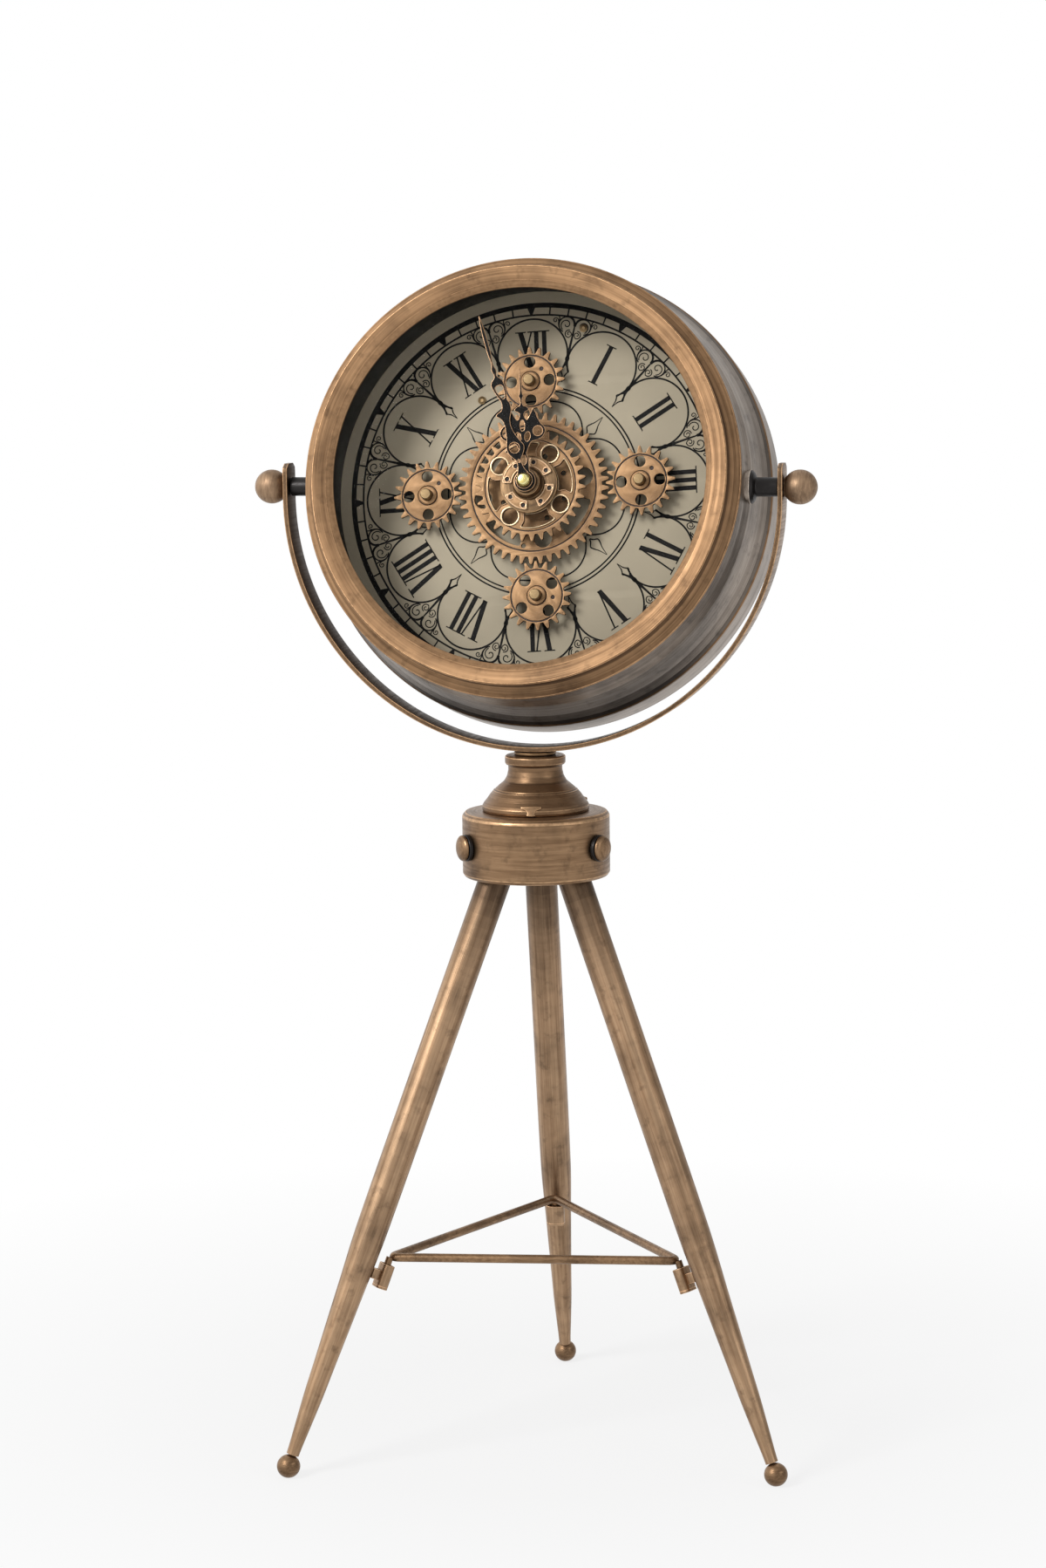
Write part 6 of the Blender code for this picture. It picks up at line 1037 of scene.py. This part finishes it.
def make_upper_gear():
    """The wheel on the large one, with raised rims round its windows and holes."""
    outline = gear_outline(UPPER_TEETH, UPPER_TIP, UPPER_ROOT)
    centres = [UPPER_WINDOW_AT + angle for angle in QUARTERS]
    windows = [window_outline(UPPER_WINDOW, centre, *UPPER_WINDOW_ENDS) for centre in centres]
    places = [polar(UPPER_HOLE_CIRCLE, UPPER_HOLE_AT + angle) for angle in QUARTERS]
    holes = [circle(UPPER_HOLE, place, HOLE_STEPS) for place in places]
    make_wheel("upper_gear", outline, UPPER_GROOVE, [*windows, *holes, circle(UPPER_BORE)], UPPER_FACE)
    low, high = UPPER_FACE, UPPER_FACE + UPPER_RIM_HEIGHT
    rim = rounded([(UPPER_HOLE, low, 0.15), (UPPER_HOLE, high, 0.25), (UPPER_HOLE_RIM, high, 0.25),
                   (UPPER_HOLE_RIM, low)])
    bm = new_mesh()
    for place in places:
        lathe(bm, rim, SMALL_STEPS, True, moved(*place))
    for centre, window in zip(centres, windows):
        outside = window_outline(UPPER_RIM, centre, *UPPER_RIM_ENDS)
        plate(bm, [outside, window], low, high, FACE_BEVEL)
    cluster_piece("upper_gear_rims", bm, gear_rim)


def make_hub_plate():
    """A disc with four raised pads, a small screw at each end of a pad; the disc's dark is painted shade."""
    disc = [circle(PLATE_RADIUS, steps=ROUND_STEPS), circle(PLATE_BORE)]
    # The disc takes the dark bronze as painted shade in the gaps between the pads.
    plate_piece("hub_plate_disc", [(disc, PLATE_LOW, PLATE_TOP, PLATE_BEVEL)], DIAL, "gear_cluster",
                cone_bronze)
    pads, rims, screws = new_mesh(), new_mesh(), new_mesh()
    screw = rounded(raised(PAD_SCREW_PROFILE, PLATE_TOP), False)
    for middle in PAD_ANGLES:
        pad = window_outline(PAD, middle, *PAD_ENDS)
        inside = window_outline(PAD_INSIDE, middle, *PAD_INSIDE_ENDS)
        places = [polar(PAD_SCREW_CIRCLE, middle + sign * PAD_SCREW_SPLIT) for sign in (-1, 1)]
        holes = [circle(PAD_SCREW_HOLE, place, TINY_STEPS) for place in places]
        plate(pads, [pad, *holes], PAD_LOW, PAD_HIGH, PAD_BEVEL)
        plate(rims, [pad, inside], PAD_HIGH, PAD_RIM_TOP, PAD_RIM_BEVEL)
        for place, hole in zip(places, holes):
            rim = [circle(SCREW_RIM, place, TINY_STEPS), hole]
            plate(rims, rim, PAD_HIGH, PAD_HIGH + SCREW_RIM_HEIGHT, SCREW_RIM_BEVEL)
            lathe(screws, screw, PAD_SCREW_STEPS, matrix=moved(*place))
    lathe(pads, rounded(SLEEVE_PROFILE), SMALL_STEPS, True)
    cluster_piece("hub_plate_pads", pads, gear_paint, ["hub_plate"])
    cluster_piece("hub_plate_rims", rims, gear_rim)
    cluster_piece("hub_plate_screws", screws, black_steel)


def make_cone():
    turned_piece("hub_stack", CONE_PROFILE, DIAL, "gear_cluster", cone_bronze,
                 ["hub_cone"], closed=True)
    turned_piece("hour_collar", COLLAR_PROFILE, DIAL, "hour_hand", black_steel,
                 ["hour_arbor"])
    turned_piece("brass_cap", CAP_PROFILE, DIAL, "minute_hand", brass,
                 ["cap_nut", "minute_arbor"])


# Hands: an edge is (distance from the centre, distance to the side), a hole (x, y, radius, stretch, lean)
HOUR_EDGE = ((3, 2.9), (5, 2.4), (8, 2.3), (10.5, 2.1), (12.5, 1.5), (14, 2), (16, 2.8), (17.8, 4),
             (18.3, 5.8), (18.9, 7.9), (20.4, 9.8), (22.7, 10.7), (24.7, 10), (26.2, 8.6), (27.6, 8),
             (29.3, 7.1), (31, 6.7), (32.4, 6), (33.5, 5.3), (32, 4.5), (30, 3.4), (28.4, 2.3),
             (29.4, 1.4), (31, 1.1), (32, 1.9), (32.5, 3), (33.6, 3.3), (34.5, 2.3), (35, 1),
             (36.4, 0.55), (38.2, 0.6), (39.5, 1.2), (41, 0.65), (46, 0.5), (52.4, 0.12))
HOUR_HOLES = ((0, 9.6, 1.15, 1.9, 0), (2.15, 20.4, 1.25, 1.75, -10), (-2.15, 20.4, 1.25, 1.75, 10),
              (0, 25.7, 1.05, 2.4, 0), (7.1, 22.7, 2.2, 1.05, 0), (-7.1, 22.7, 2.2, 1.05, 0))
MINUTE_LEFT = ((3, -2.8), (5.5, -1.6), (8, -1.1), (10, -1.4), (12, -2.8), (14, -3.8), (16, -4.1),
               (18, -3.7), (20, -3.1), (22.5, -2.6), (26, -2.1), (29, -2.3), (31, -3.3), (32.5, -4.7),
               (33.6, -3.6), (34.4, -1.7), (36, -0.9), (38, -0.7), (40, -1.3), (42.5, -2.2), (45, -2.9),
               (47, -3.2), (48.6, -2.5), (49.8, -1.2), (51, -0.6), (52.2, -0.8), (53.6, -1.2),
               (55.4, -0.7), (57.5, -0.45), (61, -0.8), (66, -0.95), (74, -0.8), (80, -0.25))
MINUTE_RIGHT = ((3, 2.8), (5.5, 1.6), (8, 1.1), (10, 1.4), (12, 2.8), (14, 3.9), (16, 4.2), (18, 3.3),
                (20, 2.4), (22.5, 1.5), (26, 0.8), (29, 1.1), (31, 1.9), (33, 2.8), (35.2, 3.2),
                (37.2, 3), (38.6, 2.4), (41, 2.7), (44, 3), (46.4, 2.9), (48.2, 2.5), (49.6, 1.5),
                (51, 0.6), (52.2, 0.9), (53.6, 1.1), (55.4, 0.6), (57.5, 0.35), (61, 0.7), (66, 0.85),
                (74, 0.7), (80, 0.25))
MINUTE_LOOP = ((0.4, 46.2), (-1.5, 45.6), (-1.5, 43.8), (-0.6, 41.4), (0.7, 39.4), (1.5, 40.2), (2, 43),
               (1.8, 45.4))
MINUTE_HOLES = ((-0.4, 15.9, 2.3, 1.1, 20), (0, 9.3, 0.5, 1.5, 0))
HAND_HOLE_STEPS = 28
COPPER_EYE_RIM, BLACK_EYE_RIM, BLACK_EYE_BEVEL = 2, 1.8, 0.04
HAND_COPPER, HAND_BLACK, HAND_BEVEL, HAND_INSET, EYE_LIFT = 0.45, 0.6, 0.12, 0.22, 0.02
HOUR_TIP, HOUR_BASE, HOUR_EYE, HOUR_TURN = 52.8, 24.8, 3.0, -1 * DEGREE
MINUTE_TIP, MINUTE_BASE, MINUTE_EYE, MINUTE_TURN = 80.6, 26.3, 1.9, -13.7 * DEGREE


def hand_outlines(left, right, tip, holes, loops=()):
    edges = [smooth_line([(half, distance) for distance, half in edge], cuts=4) for edge in (right, left)]
    made = [[*edges[0], (0, tip), *reversed(edges[1])]]
    for x, y, radius, stretch, lean in holes:
        made.append(circle(radius, (x, y), HAND_HOLE_STEPS, stretch, lean * DEGREE))
    return made + [smooth_line(loop, True, 4) for loop in loops]


def make_hand(name, turn, base, eye, outlines):
    """A copper-edged plate with a black painted plate, a little smaller, on it."""
    spot = DIAL @ Matrix.Rotation(-turn, 4, "Z")
    bore = circle(eye, steps=HOLE_STEPS)
    middle = base + HAND_COPPER
    copper = [(outlines, base, middle, HAND_BEVEL),
              ([circle(eye + COPPER_EYE_RIM, steps=HOLE_STEPS), bore], base, middle + EYE_LIFT, HAND_BEVEL)]
    plate_piece(name + "_copper", copper, spot, name, hand_edge, [name])
    black_rim = [circle(eye + BLACK_EYE_RIM, steps=HOLE_STEPS), bore]
    black = [(outlines, middle, base + HAND_BLACK, 0, HAND_INSET),
             (black_rim, middle, base + HAND_BLACK + EYE_LIFT, BLACK_EYE_BEVEL)]
    plate_piece(name + "_black", black, spot, name, hand_black)


# Back of the clock, with heights counted like the dial's for the knob and like the head's for the screws
WHEEL_PLACE, WHEEL_BACK, WHEEL_FLOOR, WHEEL_FRONT, STEM_END = (9, 10), -22.6, -22, -18.2, -15.3
WHEEL_RIDGES, WHEEL_TIP, WHEEL_ROOT, WHEEL_DISH, WHEEL_BOSS, WHEEL_STEM = 30, 5.45, 5.0, 4.1, 1.5, 1.7
WHEEL_SHARES, WHEEL_BEVEL, SCREW_BEVEL = (0.75, 0.4), 0.15, 0.1
COVER_SCREWS = (1, 2, 3)
SCREW_BACK, SCREW_FLOOR, SCREW_SEAT, SCREW_TIP = -45.1, -44.4, -43.7, -39.1
SCREW_HEAD, SCREW_SHANK, CROSS_ARM, CROSS_HALF = 2.55, 1.2, 1.5, 0.32
BATTERIES = ("movement_battery", "gear_motor_battery")
SLEEVE_HALF = 24.4


def make_set_knob():
    """The ridged setting wheel, with a raised rim, on its stem."""
    ridges = gear_outline(WHEEL_RIDGES, WHEEL_TIP, WHEEL_ROOT, *WHEEL_SHARES)
    layers = [([ridges], WHEEL_FLOOR, WHEEL_FRONT, WHEEL_BEVEL),
              ([ridges, circle(WHEEL_DISH)], WHEEL_BACK, WHEEL_FLOOR, WHEEL_BEVEL),
              ([circle(WHEEL_BOSS, steps=TINY_STEPS)], WHEEL_BACK, WHEEL_FLOOR, WHEEL_BEVEL),
              ([circle(WHEEL_STEM, steps=TINY_STEPS)], WHEEL_FRONT, STEM_END)]
    plate_piece("setting_wheel", layers, DIAL @ moved(*WHEEL_PLACE), "set_knob", plastic,
                ["set_knob"])


def make_cover_screw(number):
    """A flat screw head with a cross recess, and its shank."""
    node = f"back_cover_screw_{number}"
    low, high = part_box(node)
    centre = HEAD.inverted() @ ((low + high) / 2)
    spot = HEAD @ Matrix.Translation((centre.x, centre.y, 0))
    arm, half = CROSS_ARM, CROSS_HALF
    quarter = ((half, half), (half, arm), (-half, arm))
    cross = []
    for c, s in ((1, 0), (0, 1), (-1, 0), (0, -1)):
        cross += [(x * c - y * s, x * s + y * c) for x, y in quarter]
    head = circle(SCREW_HEAD, steps=HOLE_STEPS)
    layers = [([head, cross], SCREW_BACK, SCREW_FLOOR, SCREW_BEVEL), ([head], SCREW_FLOOR, SCREW_SEAT),
              ([circle(SCREW_SHANK, steps=TINY_STEPS)], SCREW_SEAT, SCREW_TIP)]
    plate_piece(f"cross_head_screw_{number}", layers, spot, "head", bright_steel, [node])


def dress(name, *finishes):
    """Puts finishes on a CAD node that stays, and returns its mesh."""
    mesh = frame["nodes"][name].data
    mesh.materials.clear()
    for finish in finishes:
        mesh.materials.append(finish)
    return mesh


def dress_battery(name):
    """A plain sleeve with steel ends."""
    mesh = dress(name, battery_sleeve, bright_steel)
    along = DIAL.col[0].xyz
    for face in mesh.polygons:
        is_end = abs(face.normal.dot(along)) > 0.5
        is_past_sleeve = abs((face.center - DIAL_CENTRE).dot(along)) > SLEEVE_HALF * MM
        face.material_index = int(is_end or is_past_sleeve)


# Every piece in turn
for side in LEG_AZIMUTHS:
    make_foot(side)
    make_leg(side)
    make_leg_bolt(side)
    make_cup(side)
turned_piece("hub_drum", HUB_PROFILE, STAND, "stand", copper_stand, ["hub_collar"],
             FINE_STEPS, arcs=5)
make_pedestal()
make_brace()
make_yoke()
make_swivel()
for side in SIDES:
    turned_piece("pivot_collar_" + side, BUSHING_PROFILE, side_frame(side), "head", black_steel,
                 ["pivot_bushing_" + side])
    make_knob(side)
turned_piece("stepped_bezel", BEZEL_PROFILE, HEAD, "head", copper_round, ["bezel"],
             FINE_STEPS, True, 4)
make_case()
turned_piece("black_inner_wall", WALL_PROFILE, HEAD, "head", black_wall, ["inner_ring"],
             FINE_STEPS, True)
turned_piece("front_glass", GLASS_PROFILE, HEAD, "head", glass, ["glass"], ROUND_STEPS)
make_dial()
make_print()
for side, place in SCREW_PLACES.items():
    turned_piece("dial_bolt_" + side, SCREW_PROFILE, DIAL @ moved(*place), "head", pin_brass,
                 ["dial_screw_" + side], SCREW_STEPS)
for name in SMALL_GEAR_TURNS:
    make_small_gear(name)
make_main_gear()
make_upper_gear()
make_hub_plate()
make_cone()
hour_left = [(distance, -half) for distance, half in HOUR_EDGE]
hour_outlines = hand_outlines(hour_left, HOUR_EDGE, HOUR_TIP, HOUR_HOLES)
make_hand("hour_hand", HOUR_TURN, HOUR_BASE, HOUR_EYE, hour_outlines)
minute_outlines = hand_outlines(MINUTE_LEFT, MINUTE_RIGHT, MINUTE_TIP, MINUTE_HOLES, [MINUTE_LOOP])
make_hand("minute_hand", MINUTE_TURN, MINUTE_BASE, MINUTE_EYE, minute_outlines)
make_set_knob()
for number in COVER_SCREWS:
    make_cover_screw(number)
for name in BATTERIES:
    dress_battery(name)
for name in ("movement_case", "gear_motor_case"):
    dress(name, plastic)
for name in ("movement_bushing", "gear_sleeve"):
    dress(name, brass)
dress("swivel_nut", black_steel)
dress("back_cover", black_wall)

# Floor, light and camera, in metres and watts
FLOOR_RADIUS, FLOOR_TONE, FLOOR_ROUGHNESS = 9.0, 0.8, 0.9
FADE_START, FADE_END, FADE_LEAST = 0.12, 0.55, 0.8
LEFT_LEVEL, RIGHT_LEVEL, SOFT_LEVEL = 1.5, 0.42, 0.34
# The lamps' place, aim, size and power
LAMPS = {"key": ((-1.5, -1.6, 1.7), (0, 0, 0.4), 0.9, 40), "fill": ((1.7, -1, 0.9), (0, 0, 0.35), 1.2, 5)}
CAMERA_PLACE = (0.15999, -1.78143, 0.55454)
CAMERA_YAW, CAMERA_PITCH, CAMERA_ROLL = 5.417 * DEGREE, -7.764 * DEGREE, -0.705 * DEGREE
CAMERA_FOCUS, IMAGE_HEIGHT, SENSOR = 4363.57, 1798, 36


def in_scene(name, data):
    item = bpy.data.objects.new(name, data)
    bpy.context.scene.collection.objects.link(item)
    return item


def make_floor():
    """A pale floor that keeps the object's shadow and fades to white farther out."""
    bm = bmesh.new()
    bmesh.ops.create_circle(bm, cap_ends=True, segments=ROUND_STEPS, radius=FLOOR_RADIUS)
    mesh = bpy.data.meshes.new("floor")
    bm.to_mesh(mesh)
    bm.free()
    floor = in_scene("floor", mesh)
    finish = Finish("pale_floor", FLOOR_ROUGHNESS)
    finish.set(finish.shader.inputs["Base Color"], (FLOOR_TONE,) * 3)
    glow = finish.node("ShaderNodeEmission")
    finish.set(glow.inputs["Strength"], 1.0)
    rays = finish.node("ShaderNodeLightPath").outputs
    reflected = finish.maths("MAXIMUM", rays["Is Glossy Ray"], rays["Is Transmission Ray"])
    seen = finish.maths("MAXIMUM", rays["Is Camera Ray"], reflected)
    distance = finish.node("ShaderNodeVectorMath", operation="LENGTH")
    finish.set(distance.inputs[0], finish.place())
    fade = finish.spread(distance.outputs["Value"], FADE_START, FADE_END, FADE_LEAST, 1.0)
    mixed = finish.node("ShaderNodeMixShader")
    sources = (finish.maths("MULTIPLY", seen, fade), finish.shader.outputs[0], glow.outputs[0])
    for socket, source in zip(mixed.inputs, sources):
        finish.set(socket, source)
    finish.set(finish.nodes["Material Output"].inputs["Surface"], mixed.outputs[0])
    mesh.materials.append(finish.made)


def make_world():
    """White where the camera and clear glass see it; reflections are brighter toward the object's left."""
    world = bpy.data.worlds.new("studio")
    bpy.context.scene.world = world
    tree = NodeTree(world)
    rays = tree.node("ShaderNodeLightPath").outputs
    seen = tree.maths("MAXIMUM", rays["Is Camera Ray"], rays["Is Transmission Ray"])
    split = tree.node("ShaderNodeSeparateXYZ")
    tree.set(split.inputs[0], tree.node("ShaderNodeTexCoord").outputs["Generated"])
    across = tree.spread(split.outputs["X"], -1.0, 1.0, LEFT_LEVEL, RIGHT_LEVEL)
    level = tree.mix(rays["Is Glossy Ray"], SOFT_LEVEL, across, "FLOAT")
    tree.set_all(tree.nodes["Background"], Color=(1.0, 1.0, 1.0),
                 Strength=tree.mix(seen, level, 1.0, "FLOAT"))


def make_lamp(name, place, aim, size, power):
    light = bpy.data.lights.new(name, "AREA")
    light.shape = "SQUARE"
    light.size = size
    light.energy = power
    lamp = in_scene(name, light)
    lamp.location = place
    lamp.rotation_euler = (Vector(aim) - Vector(place)).to_track_quat("-Z", "Y").to_euler()


def make_camera():
    data = bpy.data.cameras.new("camera")
    data.sensor_width = SENSOR
    data.lens = CAMERA_FOCUS * SENSOR / IMAGE_HEIGHT
    level = Vector((math.cos(CAMERA_YAW), math.sin(CAMERA_YAW), 0))
    forward = UPWARD.cross(level) * math.cos(CAMERA_PITCH) + UPWARD * math.sin(CAMERA_PITCH)
    above = level.cross(forward)
    right = level * math.cos(CAMERA_ROLL) + above * math.sin(CAMERA_ROLL)
    up = above * math.cos(CAMERA_ROLL) - level * math.sin(CAMERA_ROLL)
    camera = in_scene("camera", data)
    camera.matrix_world = axes(Vector(CAMERA_PLACE), right, up, -forward)
    bpy.context.scene.camera = camera


make_floor()
make_world()
for name, lamp in LAMPS.items():
    make_lamp(name, *lamp)
make_camera()
bpy.context.scene.view_settings.view_transform = "Standard"
